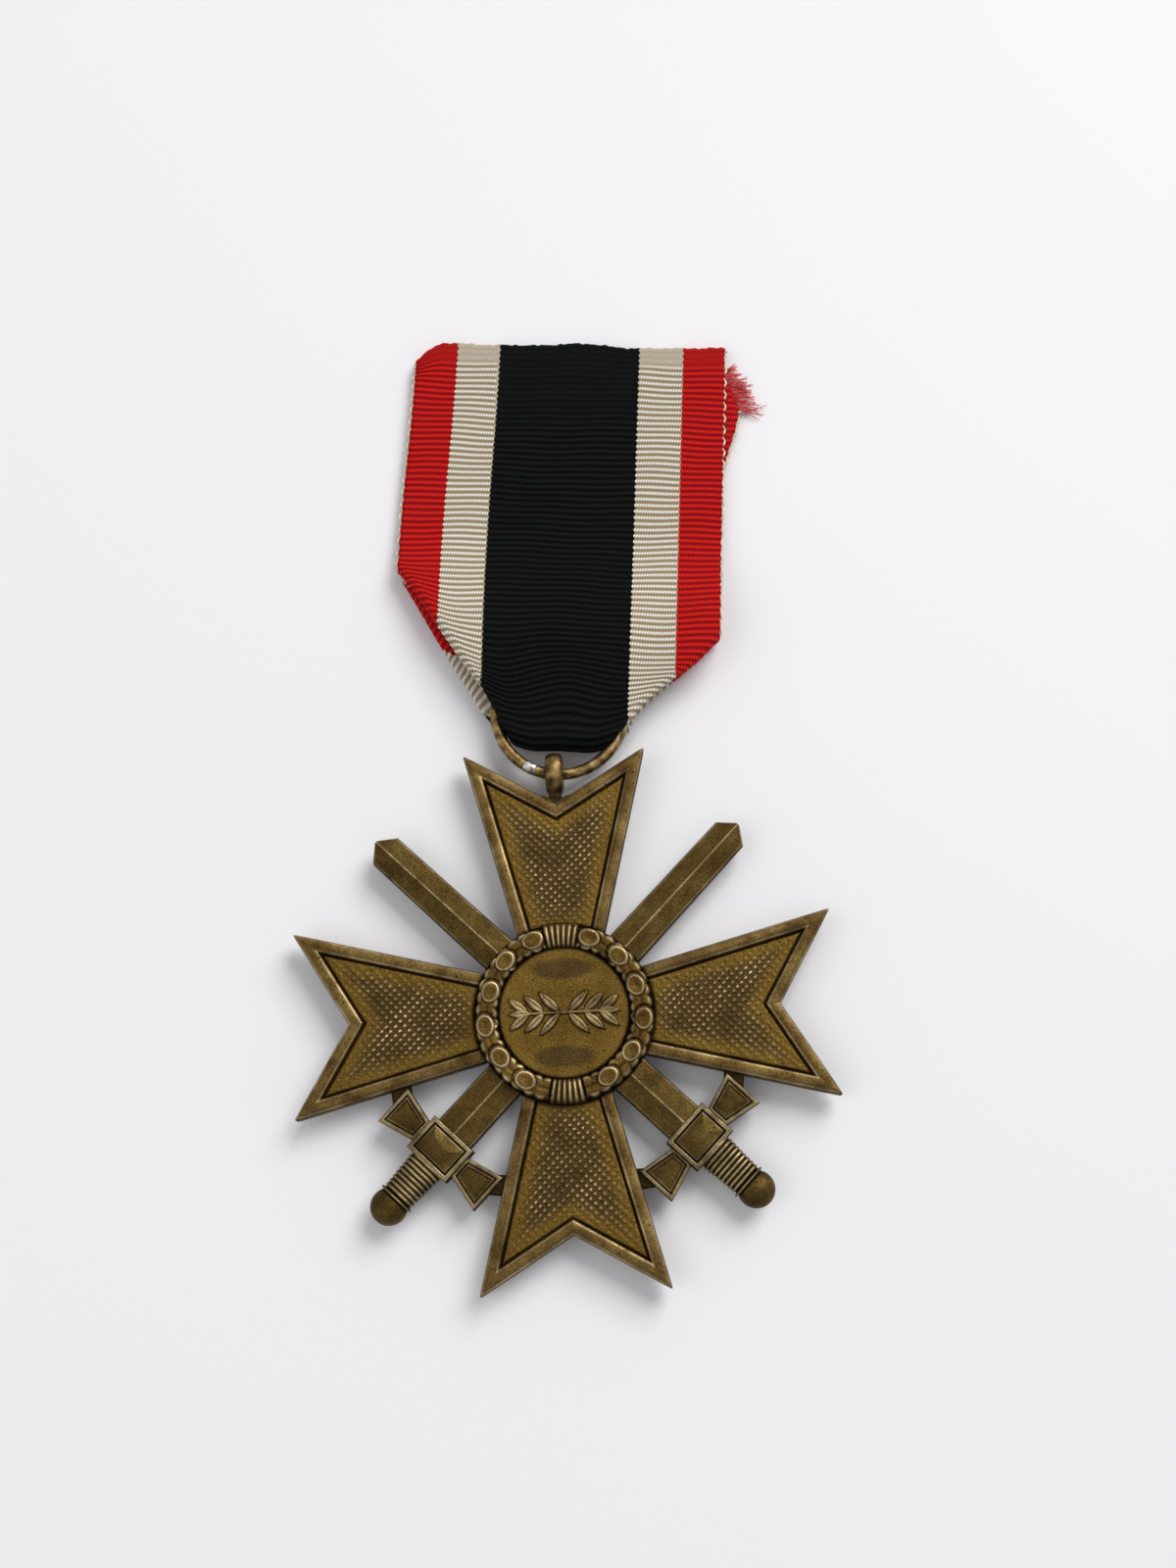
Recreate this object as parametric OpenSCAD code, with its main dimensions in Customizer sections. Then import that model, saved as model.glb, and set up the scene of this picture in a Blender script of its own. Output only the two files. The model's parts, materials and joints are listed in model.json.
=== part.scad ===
// Crossed-sword service cross on a folded striped ribbon.
// Origin: centre of the cross on its flat back boss. +Z leaves the front face, +Y points to the ribbon.

/* [Cross] */
// Span of the cross from arm end to arm end
cross_span = 48; // [44:1:60]
// Width of an arm across its two points
arm_tip_w = 16.6; // [14:0.2:18]
// Width of an arm where it meets the wreath
arm_root_w = 8; // [6.5:0.1:8.6]
// Depth of the swallow-tail notch in each arm end
notch_depth = 4.95; // [3:0.05:6]
// Thickness of the raised rim of the arms
rim_t = 2; // [1.6:0.1:2.4]
// Width of the raised rim
rim_w = 1.2; // [0.6:0.1:1.6]
// Depth of the sunk field inside the rim, on each face
field_depth = 0.35; // [0.1:0.05:0.6]

/* [Medallion] */
// Outer diameter of the oak-leaf wreath
wreath_d = 15.9; // [14.5:0.1:17]
// Width of the wreath band
wreath_w = 2.2; // [1.6:0.1:3]
// Overall thickness through the wreaths
medallion_t = 4; // [3.6:0.1:5]
// Thickness of the front medallion plate
plate_t = 0.4; // [0.3:0.05:0.7]
// Height of the raised sprig on the front medallion
sprig_t = 0.35; // [0.2:0.05:0.4]

/* [Swords] */
// Distance from the centre of the cross to a sword point
sword_reach = 23.2; // [22:0.2:30]
// Width of a blade just before its point
blade_tip_w = 3.2; // [2.4:0.1:3.6]
// Width of a blade at its guard
blade_guard_w = 3.8; // [3:0.1:4.2]
// Thickness of a blade along its ridge
blade_t = 1.6; // [1.2:0.1:2.4]
// Distance from the centre of the cross to the middle of a guard
guard_reach = 15.9; // [15:0.1:18]
// Width of the guard block across the sword
guard_w = 4.6; // [4:0.1:5.4]
// Length of the guard block along the sword
guard_len = 3.6; // [3:0.1:4.4]
// Distance across both ends of the cross-guard
quillon_span = 11.4; // [9:0.2:12]
// Length of the ribbed grip
grip_len = 3.6; // [3:0.1:6]
// Diameter of the pommel
pommel_d = 3.3; // [2.6:0.1:4]

/* [Suspension] */
// Diameter of the ring's wire
wire_d = 1.05; // [0.8:0.05:1.1]
// Outer diameter of the suspension ring
ring_d = 12.75; // [11:0.25:16]
// Play between the wire and the eyelet hole, on the radius
eyelet_play = 0.43; // [0.3:0.01:0.5]
// Thickness of the eyelet's wire, measured outwards from the hole
eyelet_wall = 1; // [0.8:0.05:1.1]
// Width of the eyelet across the cross
eyelet_w = 1.6; // [1.2:0.1:2]
// Height of the eyelet's middle above the bottom of the notch
eyelet_rise = 2.9; // [2.5:0.1:4]
// How far round the eyelet the ring hangs, in degrees
ring_offset = 7; // [0:1:8]

/* [Ribbon] */
// Width of the ribbon
ribbon_w = 30; // [26:1:34]
// Length from the bottom fold to the top fold
ribbon_len = 40.8; // [34:0.2:60]
// Thickness of one layer
ribbon_t = 0.35; // [0.25:0.05:0.5]
// Width of the ribbon's front just above the bottom fold
gather_w = 10.6; // [9:0.2:12]
// Height of the folded-in corner, left side
left_fold_h = 17.4; // [12:0.2:20]
// Height of the folded-in corner, right side
right_fold_h = 10; // [8:0.2:16]
// Play between the wire and each layer of the loop
loop_play = 0.22; // [0.15:0.01:0.4]
// Gap between the eyelet and the bottom fold
fold_gap = 0.45; // [0.3:0.05:1]
// How far the ribbon leans from the cross, in degrees
ribbon_lean = 4.6; // [0:0.2:8]

/* [Hidden] */
$fn = 48;
over = 0.2;
mid_z = medallion_t / 2;
wreath_r = wreath_d / 2;
plate_r = wreath_r - wreath_w;
hub_r = wreath_r - 0.15;
bronze = [0.45, 0.36, 0.2];
bronze_dark = [0.36, 0.29, 0.17];
brass_wire = [0.6, 0.48, 0.24];
solder_grey = [0.66, 0.64, 0.6];

// Arm outline, pointing along +Y, clockwise from its inner left corner
arm_inner_y = plate_r - 1;
arm_root_y = wreath_r - 0.55;
arm_end_y = cross_span / 2;
arm_flare = (arm_tip_w - arm_root_w) / 2 / (arm_end_y - arm_root_y);
arm_inner_x = arm_root_w / 2 - (arm_root_y - arm_inner_y) * arm_flare;
notch_y = arm_end_y - notch_depth;
arm_points = [
    [-arm_inner_x, arm_inner_y],
    [-arm_tip_w / 2, arm_end_y],
    [0, notch_y],
    [arm_tip_w / 2, arm_end_y],
    [arm_inner_x, arm_inner_y]
];

// Swords: the tangs are half-lapped inside the hub
tang_w = 2.4;
tang_t = 0.7;
guard_top_w = 1.8;
guard_t = 2.7;
quillon_t = 1.5;
quillon_inner = 2.1;
quillon_outer = 3.8;
web_t = 1;
grip_w = 3.4;
grip_end_w = 2.95;
grip_t = 2.1;
grip_ribs = 9;
rib_proud = 0.12;
grip_start = guard_reach + guard_len / 2;
pommel_y = grip_start + grip_len + pommel_d / 2 - 0.5;
pommel_t = 2.5;

// Eyelet and ring
wire_r = wire_d / 2;
eyelet_hole_r = wire_r + eyelet_play;
eyelet_r = eyelet_hole_r + eyelet_wall;
eyelet_y = notch_y + eyelet_rise;
ring_r = ring_d / 2 - wire_r;
ring_x = ring_r * sin(ring_offset);
ring_y = eyelet_y + ring_r * cos(ring_offset);
joint_arc = 12;
joint_from = 240 - joint_arc / 2;
joint_proud = 0.05;

// Ribbon: v runs up the ribbon from the height of the ring's centre
loop_inner_r = wire_r + loop_play;
loop_outer_r = loop_inner_r + ribbon_t;
fold_v = eyelet_y + eyelet_r + fold_gap - ring_y;
top_v = fold_v + ribbon_len;
loop_v = fold_v + loop_outer_r;
loop_end_v = ring_r + wire_r + 1.2;
flat_v = loop_end_v + 9.5;
flat_t = 3 * ribbon_t + 0.1;
top_fold_r = flat_t / 2;
ribbon_shift = -0.5;
fold_mid = -ribbon_shift;
fold_play = 0.25;

function unit(a) = a / norm(a);

// Corner i of an outline drawn clockwise, moved inwards by d
function inset_corner(p, i, d) =
    let (
        n = len(p),
        u = unit(p[i] - p[(i + n - 1) % n]),
        v = unit(p[(i + 1) % n] - p[i]),
        side_u = [u.y, -u.x],
        side_v = [v.y, -v.x]
    )
    p[i] + (side_u + side_v) * d / (1 + side_u * side_v);

function inset(p, d) = [for (i = [0:len(p) - 1]) inset_corner(p, i, d)];

// Points of an arc about c, from one angle to another
function arc(c, r, from, to, steps = 10) =
    [for (i = [0:steps]) c + r * [cos(from + (to - from) * i / steps), sin(from + (to - from) * i / steps)]];

module four_arms(points, bottom, top) {
    for (turn = [0:90:270])
        rotate([0, 0, turn])
            translate([0, 0, bottom])
                linear_extrude(top - bottom)
                    polygon(points);
}

module tang(level) {
    translate([-tang_w / 2, -hub_r - 0.6, level])
        cube([tang_w, 2 * hub_r + 1.2, tang_t]);
}

module left_tang() {
    translate([0, 0, mid_z])
        rotate([0, 0, 45])
            tang(0);
}

module right_tang() {
    translate([0, 0, mid_z])
        rotate([0, 0, -45])
            tang(-tang_t);
}

module cross_arms() {
    low = mid_z - rim_t / 2;
    high = mid_z + rim_t / 2;
    field = inset(arm_points, rim_w);
    color(bronze)
        difference() {
            union() {
                difference() {
                    four_arms(arm_points, low, high);
                    four_arms(field, high - field_depth, high + over);
                    four_arms(field, low - over, low + field_depth);
                }
                translate([0, 0, low])
                    cylinder(h = rim_t, r = hub_r);
            }
            left_tang();
            right_tang();
        }
}

// Block whose four sides slope in to a smaller top and bottom
module hip_block(w, l, t, top_w) {
    slope = (w - top_w) / 2;
    intersection() {
        rotate([90, 0, 0])
            linear_extrude(l, center = true)
                polygon([[-w / 2, -t / 4], [-w / 2, t / 4], [slope - w / 2, t / 2], [w / 2 - slope, t / 2],
                    [w / 2, t / 4], [w / 2, -t / 4], [w / 2 - slope, -t / 2], [slope - w / 2, -t / 2]]);
        rotate([90, 0, 90])
            linear_extrude(w, center = true)
                polygon([[-l / 2, -t / 4], [-l / 2, t / 4], [slope - l / 2, t / 2], [l / 2 - slope, t / 2],
                    [l / 2, t / 4], [l / 2, -t / 4], [l / 2 - slope, -t / 2], [slope - l / 2, -t / 2]]);
    }
}

module blade() {
    edge_t = blade_t * 0.7;
    point_y = sword_reach - blade_tip_w * 0.4;
    intersection() {
        linear_extrude(blade_t, center = true)
            polygon([[-blade_guard_w / 2, -guard_reach], [-blade_tip_w / 2, point_y], [0, sword_reach],
                [blade_tip_w / 2, point_y], [blade_guard_w / 2, -guard_reach]]);
        rotate([90, 0, 0])
            linear_extrude(3 * sword_reach, center = true)
                polygon([[-blade_guard_w / 2, -edge_t / 2], [-blade_guard_w / 2, edge_t / 2], [0, blade_t / 2],
                    [blade_guard_w / 2, edge_t / 2], [blade_guard_w / 2, -edge_t / 2], [0, -blade_t / 2]]);
    }
}

module quillons() {
    linear_extrude(quillon_t, center = true)
        polygon([[-quillon_span / 2, -quillon_outer / 2], [-quillon_span / 2, quillon_outer / 2],
            [-guard_w / 2, quillon_inner / 2], [guard_w / 2, quillon_inner / 2],
            [quillon_span / 2, quillon_outer / 2], [quillon_span / 2, -quillon_outer / 2],
            [guard_w / 2, -quillon_inner / 2], [-guard_w / 2, -quillon_inner / 2]]);
}

// Struck metal between a cross-guard's end and the arm beside it, cut back to the arm's edge
module web() {
    end_x = quillon_span / 2;
    linear_extrude(web_t, center = true)
        polygon([[end_x - 0.8, quillon_outer / 2 - 0.4], [end_x + 0.8, quillon_outer / 2 + 1.2],
            [end_x + 1.6, quillon_outer / 2 - 1], [end_x - 0.2, -0.2]]);
}

module grip() {
    step = grip_len / grip_ribs;
    taper = (grip_w - grip_end_w) / grip_ribs;
    translate([-grip_end_w / 2, -grip_len - 0.2, -grip_t / 2])
        cube([grip_end_w, grip_len + 0.4, grip_t]);
    for (i = [0:grip_ribs - 1])
        translate([0, -(i + 0.5) * step, 0])
            cube([grip_w - i * taper + rib_proud, step * 0.6, grip_t + 2 * rib_proud], center = true);
}

module pommel() {
    rotate_extrude()
        intersection() {
            translate([0, -pommel_t / 2])
                square([pommel_d / 2, pommel_t]);
            circle(r = norm([pommel_d / 2, pommel_t / 6]));
        }
}

module sword(level) {
    low = mid_z - rim_t / 2;
    difference() {
        translate([0, 0, mid_z])
            rotate([0, 0, level < 0 ? -45 : 45])
                union() {
                    blade();
                    translate([0, -guard_reach, 0]) {
                        hip_block(guard_w, guard_len, guard_t, guard_top_w);
                        quillons();
                        web();
                        mirror([1, 0, 0])
                            web();
                    }
                    translate([0, -grip_start, 0])
                        grip();
                    translate([0, -pommel_y, 0])
                        pommel();
                }
        translate([0, 0, low - over])
            cylinder(h = rim_t + 2 * over, r = hub_r);
        four_arms(arm_points, low - over, low + rim_t + over);
    }
}

module left_sword() {
    color(bronze)
        union() {
            sword(1);
            left_tang();
        }
}

module right_sword() {
    color(bronze)
        union() {
            sword(-1);
            right_tang();
        }
}

module front_medallion() {
    color(bronze_dark)
        translate([0, 0, mid_z + rim_t / 2])
            cylinder(h = plate_t, r = plate_r);
}

// Half-round band with two ribbed bindings, standing on z = 0
module wreath(height) {
    crown_r = (wreath_w * wreath_w / 4 + height * height) / (2 * height);
    binding_w = 2.8;
    rib_count = 5;
    rib_pitch = binding_w / rib_count;
    rotate_extrude()
        intersection() {
            translate([plate_r, 0])
                square([wreath_w, height]);
            translate([plate_r + wreath_w / 2, height - crown_r])
                circle(r = crown_r);
        }
    for (side = [90, 270], rib = [0:rib_count - 1])
        rotate([0, 0, side])
            translate([plate_r + wreath_w * 0.12, (rib - rib_count / 2 + 0.2) * rib_pitch, 0])
                cube([wreath_w * 0.76, rib_pitch * 0.6, height - 0.02]);
}

module front_wreath() {
    color(bronze)
        translate([0, 0, mid_z + rim_t / 2])
            wreath(mid_z - rim_t / 2);
}

// Pointed leaf with its stalk end at the origin
module leaf(length, width) {
    bend_r = (length * length + width * width) / (4 * width);
    translate([length / 2, 0, 0])
        intersection() {
            translate([0, width / 2 - bend_r, 0])
                cylinder(h = sprig_t, r = bend_r);
            translate([0, bend_r - width / 2, 0])
                cylinder(h = sprig_t, r = bend_r);
        }
}

module front_sprig() {
    leaf_len = plate_r * 0.5;
    leaf_w = plate_r * 0.19;
    stem_half = plate_r * 0.72;
    pairs = 3;
    color(bronze)
        translate([0, 0, mid_z + rim_t / 2 + plate_t]) {
            translate([-stem_half, -0.18, 0])
                cube([2 * stem_half, 0.36, sprig_t]);
            for (end = [0, 180])
                rotate([0, 0, end]) {
                    for (pair = [0:pairs - 1], side = [-1, 1])
                        translate([0.35 + pair * stem_half / pairs, 0, 0])
                            rotate([0, 0, side * 42])
                                leaf(leaf_len, leaf_w);
                    translate([stem_half * 0.66, 0, 0])
                        leaf(leaf_len * 0.72, leaf_w);
                }
        }
}

module back_medallion() {
    color(bronze_dark)
        cylinder(h = mid_z - rim_t / 2, r = plate_r);
}

module back_wreath() {
    color(bronze)
        translate([0, 0, mid_z - rim_t / 2])
            mirror([0, 0, 1])
                wreath(mid_z - rim_t / 2 - 0.1);
}

// Flattened wire loop that stands in the notch, with a short foot down to the metal
foot_w = 1.2;
foot_t = 1.3;
module eyelet() {
    low = mid_z - rim_t / 2;
    core = eyelet_w - eyelet_wall;
    mid_r = eyelet_hole_r + eyelet_wall / 2;
    color(brass_wire)
        difference() {
            union() {
                translate([0, eyelet_y, mid_z])
                    rotate([0, 90, 0])
                        rotate_extrude()
                            union() {
                                translate([mid_r, core / 2])
                                    circle(r = eyelet_wall / 2);
                                translate([mid_r, -core / 2])
                                    circle(r = eyelet_wall / 2);
                                translate([eyelet_hole_r, -core / 2])
                                    square([eyelet_wall, core]);
                            }
                translate([-foot_w / 2, notch_y - over, mid_z - foot_t / 2])
                    cube([foot_w, eyelet_rise + over - mid_r, foot_t]);
            }
            four_arms(arm_points, low, low + rim_t);
        }
}

// Two fillets of solder, one on each side of the eyelet's foot
module eyelet_solder() {
    low = mid_z - rim_t / 2;
    fillet_w = 0.8;
    color(solder_grey)
        difference() {
            for (side = [0, 1])
                mirror([side, 0, 0])
                    translate([0, 0, mid_z - foot_t / 2 + 0.1])
                        linear_extrude(foot_t - 0.2)
                            polygon([[foot_w / 2, notch_y], [foot_w / 2, notch_y + 0.8],
                                [foot_w / 2 + fillet_w, notch_y + 0.9], [foot_w / 2 + fillet_w, notch_y]]);
            four_arms(arm_points, low, low + rim_t);
        }
}

module ring_part(from, arc_deg, r) {
    translate([ring_x, ring_y, mid_z])
        rotate([0, 0, from])
            rotate_extrude(angle = arc_deg, $fn = 96)
                translate([ring_r, 0])
                    circle(r = r);
}

module suspension_ring() {
    color(brass_wire)
        ring_part(joint_from + joint_arc, 360 - joint_arc, wire_r);
}

module ring_solder() {
    color(solder_grey)
        ring_part(joint_from, joint_arc, wire_r + joint_proud);
}

// Side view of the folded ribbon: v to the right, height upwards
module ribbon_side() {
    loop_c = [loop_v, mid_z];
    top_c = [top_v - top_fold_r, top_fold_r];
    difference() {
        polygon(concat(
            arc(loop_c, loop_outer_r, 270, 90),
            [[loop_end_v, mid_z + loop_outer_r], [flat_v, flat_t]],
            arc(top_c, top_fold_r, 90, -90),
            [[flat_v, 0], [loop_end_v, mid_z - loop_outer_r]]
        ));
        polygon(concat(
            arc(loop_c, loop_inner_r, 270, 90),
            [[loop_end_v, mid_z + loop_inner_r], [flat_v - 1.5, flat_t / 2], [loop_end_v, mid_z - loop_inner_r]]
        ));
    }
}

// Half the width that fits between the ring's sides at height v
function chord(v) = sqrt(pow(ring_r - wire_r - fold_play, 2) - v * v);

// Front view of the ribbon, with both lower corners folded in and the upper left corner rounded
module ribbon_front() {
    half = ribbon_w / 2;
    polygon([
        [fold_mid - gather_w / 2, loop_v + over],
        [fold_mid - chord(loop_v), loop_v],
        [fold_mid - chord(fold_v), fold_v - over],
        [fold_mid + chord(fold_v), fold_v - over],
        [fold_mid + chord(loop_v), loop_v],
        [fold_mid + gather_w / 2 + 0.3, loop_v + over],
        [half, fold_v + right_fold_h],
        [half, top_v + over],
        [-half + 2.2, top_v + over],
        [-half, top_v - 2],
        [-half, fold_v + left_fold_h]
    ]);
}

// Cut end of the back layer, which shows past the right edge
module ribbon_tail() {
    half = ribbon_w / 2;
    translate([0, 0, ribbon_t])
        linear_extrude(ribbon_t)
            polygon([[half - 0.6, top_v - 2.4], [half + 1.5, top_v - 3.1], [half + 1.3, top_v - 6.9],
                [half + 0.1, top_v - 13], [half - 0.6, top_v - 13]]);
}

module ribbon() {
    color([0.72, 0.1, 0.12])
        translate([ring_x + ribbon_shift, ring_y, 0])
            rotate([0, 0, -ribbon_lean])
                union() {
                    intersection() {
                        translate([-ribbon_w, 0, 0])
                            rotate([90, 0, 90])
                                linear_extrude(2 * ribbon_w)
                                    ribbon_side();
                        linear_extrude(2 * mid_z)
                            ribbon_front();
                    }
                    ribbon_tail();
                }
}

cross_arms();
left_sword();
right_sword();
front_medallion();
front_wreath();
front_sprig();
back_medallion();
back_wreath();
eyelet();
eyelet_solder();
suspension_ring();
ring_solder();
ribbon();
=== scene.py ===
import json
import math

import bmesh
import bpy
import numpy as np
from mathutils import Euler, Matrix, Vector, noise


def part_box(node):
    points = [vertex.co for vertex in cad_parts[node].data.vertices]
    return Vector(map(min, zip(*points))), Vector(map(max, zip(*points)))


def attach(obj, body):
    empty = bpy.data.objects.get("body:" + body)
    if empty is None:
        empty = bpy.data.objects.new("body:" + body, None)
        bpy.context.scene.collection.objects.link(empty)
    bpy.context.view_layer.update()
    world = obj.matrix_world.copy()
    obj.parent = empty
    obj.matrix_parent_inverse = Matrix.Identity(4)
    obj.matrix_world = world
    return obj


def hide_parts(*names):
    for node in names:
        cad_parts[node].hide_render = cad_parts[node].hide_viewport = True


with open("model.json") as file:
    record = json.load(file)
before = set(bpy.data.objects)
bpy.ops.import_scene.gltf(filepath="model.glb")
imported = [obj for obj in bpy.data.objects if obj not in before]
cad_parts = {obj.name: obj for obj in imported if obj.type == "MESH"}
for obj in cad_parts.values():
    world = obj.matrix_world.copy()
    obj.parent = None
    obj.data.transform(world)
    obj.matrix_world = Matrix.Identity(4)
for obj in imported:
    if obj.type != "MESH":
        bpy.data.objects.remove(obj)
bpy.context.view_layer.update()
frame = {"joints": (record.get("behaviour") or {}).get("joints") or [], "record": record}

mm = 0.001  # everything below is worked out in millimetres and scaled once


def boxMm(node):
    low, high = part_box(node)
    return np.array(low) / mm, np.array(high) / mm


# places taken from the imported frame
armsLow, armsHigh = boxMm("cross_arms")
eyeletLow, eyeletHigh = boxMm("eyelet")
wreathRadius, _, wreathTop = boxMm("front_wreath")[1]
plateRadius, _, plateTop = boxMm("front_medallion")[1]
backWreathLow = boxMm("back_wreath")[0]
joints = {joint["name"]: joint for joint in frame["joints"]}
ringCentre = np.array(joints["ring_sway"]["pos_m"]) / mm
eyeletCentre = np.array(joints["cross_swing"]["pos_m"]) / mm
midZ = (armsLow[2] + armsHigh[2]) / 2
ribbonMount = [m for m in frame["record"]["mounts"] if m["name"] == "ribbon_top"][0]


# mesh helpers

def newObject(name, mesh, material, body):
    piece = bpy.data.objects.new(name, mesh)
    bpy.context.scene.collection.objects.link(piece)
    piece.data.materials.append(material)
    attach(piece, body)
    return piece


def meshFrom(name, points, faces, smooth=True, attributes=None):
    mesh = bpy.data.meshes.new(name)
    mesh.from_pydata((np.asarray(points) * mm).tolist(), [], [list(map(int, face)) for face in faces])
    for key, values in (attributes or {}).items():
        layer = mesh.attributes.new(key, "FLOAT", "POINT")
        layer.data.foreach_set("value", np.asarray(values, dtype=np.float32))
    mesh.polygons.foreach_set("use_smooth", [smooth] * len(mesh.polygons))
    mesh.update()
    return mesh


def cleanMesh(mesh, distance=0.002):
    work = bmesh.new()
    work.from_mesh(mesh)
    bmesh.ops.remove_doubles(work, verts=work.verts, dist=distance * mm)
    bmesh.ops.recalc_face_normals(work, faces=work.faces)
    work.to_mesh(mesh)
    work.free()
    return mesh


def gridFaces(rows, columns, start=0, closed=False):
    r = np.arange(rows - 1)[:, None]
    c = np.arange(columns if closed else columns - 1)[None, :]
    a = r * columns + c
    b = r * columns + (c + 1) % columns
    quads = np.stack([a, b, b + columns, a + columns], axis=-1)
    return (quads.reshape(-1, 4) + start).tolist()


def turnAbout(angle):
    # turns rows of points about the vertical axis
    c, d = math.cos(angle), math.sin(angle)
    return np.array([[c, -d, 0], [d, c, 0], [0, 0, 1]]).T


def circle(count):
    return np.linspace(0, 2 * math.pi, count, endpoint=False)


def capped(rows, around):
    # faces of a closed bar made of rings of points
    last = (rows - 1) * around
    ends = [list(range(around)), list(range(last, last + around))]
    return gridFaces(rows, around, closed=True) + ends


def dome(distance, power=2.0):
    # 1 in the middle, falling to 0 at a distance of 1; a higher power makes it flatter and steeper
    return np.sqrt(np.clip(1 - np.abs(distance) ** power, 0, 1))


def smoothStep(low, high, x):
    t = np.clip((x - low) / (high - low), 0, 1)
    return t * t * (3 - 2 * t)


def wobble(points, scale, seed):
    # smooth noise, one value for each point
    return np.array([noise.noise(Vector((p[0] * scale + seed, p[1] * scale, p[2] * scale))) for p in points])


# shader groups, each built once

def newGroup(name, inputs, outputs):
    group = bpy.data.node_groups.new(name, "ShaderNodeTree")
    for label, kind, value in inputs:
        socket = group.interface.new_socket(name=label, in_out="INPUT", socket_type=kind)
        socket.default_value = value
    for label, kind in outputs:
        group.interface.new_socket(name=label, in_out="OUTPUT", socket_type=kind)
    return group, group.nodes.new("NodeGroupInput"), group.nodes.new("NodeGroupOutput")


def addNode(tree, kind, settings=None, **values):
    node = tree.nodes.new(kind)
    for key, value in (settings or {}).items():
        setattr(node, key, value)
    for key, value in values.items():
        node.inputs[key].default_value = value
    return node


def mathNode(tree, operation, first, second=None, clamp=False):
    node = tree.nodes.new("ShaderNodeMath")
    node.operation = operation
    node.use_clamp = clamp
    for slot, value in ((0, first), (1, second)):
        if value is None:
            continue
        if isinstance(value, (int, float)):
            node.inputs[slot].default_value = value
        else:
            tree.links.new(value, node.inputs[slot])
    return node.outputs[0]


def rampNode(tree, value, stops, mode="LINEAR"):
    ramp = tree.nodes.new("ShaderNodeValToRGB")
    ramp.color_ramp.interpolation = mode
    elements = ramp.color_ramp.elements
    while len(elements) < len(stops):
        elements.new(0.5)
    for element, (place, colour) in zip(elements, stops):
        element.position = place
        element.color = (*colour, 1)
    tree.links.new(value, ramp.inputs[0])
    return ramp.outputs[0]


def mixColour(tree, factor, first, second):
    node = tree.nodes.new("ShaderNodeMix")
    node.data_type = "RGBA"
    for slot, value in ((0, factor), (6, first), (7, second)):
        if isinstance(value, (int, float)):
            node.inputs[slot].default_value = value
        elif isinstance(value, tuple):
            node.inputs[slot].default_value = (*value, 1)
        else:
            tree.links.new(value, node.inputs[slot])
    return node.outputs[2]


def mixValue(tree, factor, first, second):
    node = tree.nodes.new("ShaderNodeMix")
    for slot, value in ((0, factor), (2, first), (3, second)):
        if isinstance(value, (int, float)):
            node.inputs[slot].default_value = value
        else:
            tree.links.new(value, node.inputs[slot])
    return node.outputs[0]


def makeEdgeWear():
    # Wear is 1 on rubbed convex edges, Cavity is 1 in hollows
    group, inside, outside = newGroup("edgeWear", [
        ("Reach", "NodeSocketFloat", 0.06), ("Breakup", "NodeSocketFloat", 1800.0)],
        [("Wear", "NodeSocketFloat"), ("Cavity", "NodeSocketFloat")])
    geometry = addNode(group, "ShaderNodeNewGeometry")
    coords = addNode(group, "ShaderNodeTexCoord")
    patches = addNode(group, "ShaderNodeTexNoise", Detail=4.0)
    group.links.new(coords.outputs["Object"], patches.inputs["Vector"])
    group.links.new(inside.outputs["Breakup"], patches.inputs["Scale"])
    raised = mathNode(group, "SUBTRACT", geometry.outputs["Pointiness"], 0.505)
    raised = mathNode(group, "DIVIDE", raised, inside.outputs["Reach"])
    broken = mathNode(group, "MULTIPLY", raised, mathNode(group, "ADD", patches.outputs["Fac"], 0.35))
    group.links.new(mathNode(group, "MULTIPLY", broken, 1.0, clamp=True), outside.inputs["Wear"])
    sunk = mathNode(group, "SUBTRACT", 0.495, geometry.outputs["Pointiness"])
    sunk = mathNode(group, "DIVIDE", sunk, inside.outputs["Reach"])
    group.links.new(mathNode(group, "MULTIPLY", sunk, 1.0, clamp=True), outside.inputs["Cavity"])
    return group


def makePatina():
    # cloudy colour change, small pits and a fine struck grain, all by place on the metal
    group, inside, outside = newGroup("patina", [
        ("Cloud", "NodeSocketFloat", 260.0), ("Grain", "NodeSocketFloat", 5200.0),
        ("Pits", "NodeSocketFloat", 900.0)],
        [("Cloud", "NodeSocketFloat"), ("Pit", "NodeSocketFloat"), ("Height", "NodeSocketFloat")])
    coords = addNode(group, "ShaderNodeTexCoord")
    cloud = addNode(group, "ShaderNodeTexNoise", Detail=6.0, Roughness=0.62)
    grain = addNode(group, "ShaderNodeTexNoise", Detail=3.0, Roughness=0.7)
    pits = addNode(group, "ShaderNodeTexVoronoi", {"feature": "F1"}, Randomness=1.0)
    for node, label in ((cloud, "Cloud"), (grain, "Grain"), (pits, "Pits")):
        group.links.new(coords.outputs["Object"], node.inputs["Vector"])
        group.links.new(inside.outputs[label], node.inputs["Scale"])
    rare = mathNode(group, "LESS_THAN", pits.outputs["Distance"], 0.12)
    colourPick = addNode(group, "ShaderNodeSeparateColor")
    group.links.new(pits.outputs["Color"], colourPick.inputs[0])
    pit = mathNode(group, "MULTIPLY", rare, mathNode(group, "GREATER_THAN", colourPick.outputs[0], 0.72))
    group.links.new(cloud.outputs["Fac"], outside.inputs["Cloud"])
    group.links.new(pit, outside.inputs["Pit"])
    height = mathNode(group, "SUBTRACT", grain.outputs["Fac"], mathNode(group, "MULTIPLY", pit, 0.7))
    group.links.new(height, outside.inputs["Height"])
    return group


edgeWear = makeEdgeWear()
patina = makePatina()


def newMaterial(name):
    material = bpy.data.materials.new(name)
    material.use_nodes = True
    tree = material.node_tree
    shader = tree.nodes["Principled BSDF"]
    return material, tree, shader


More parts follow.
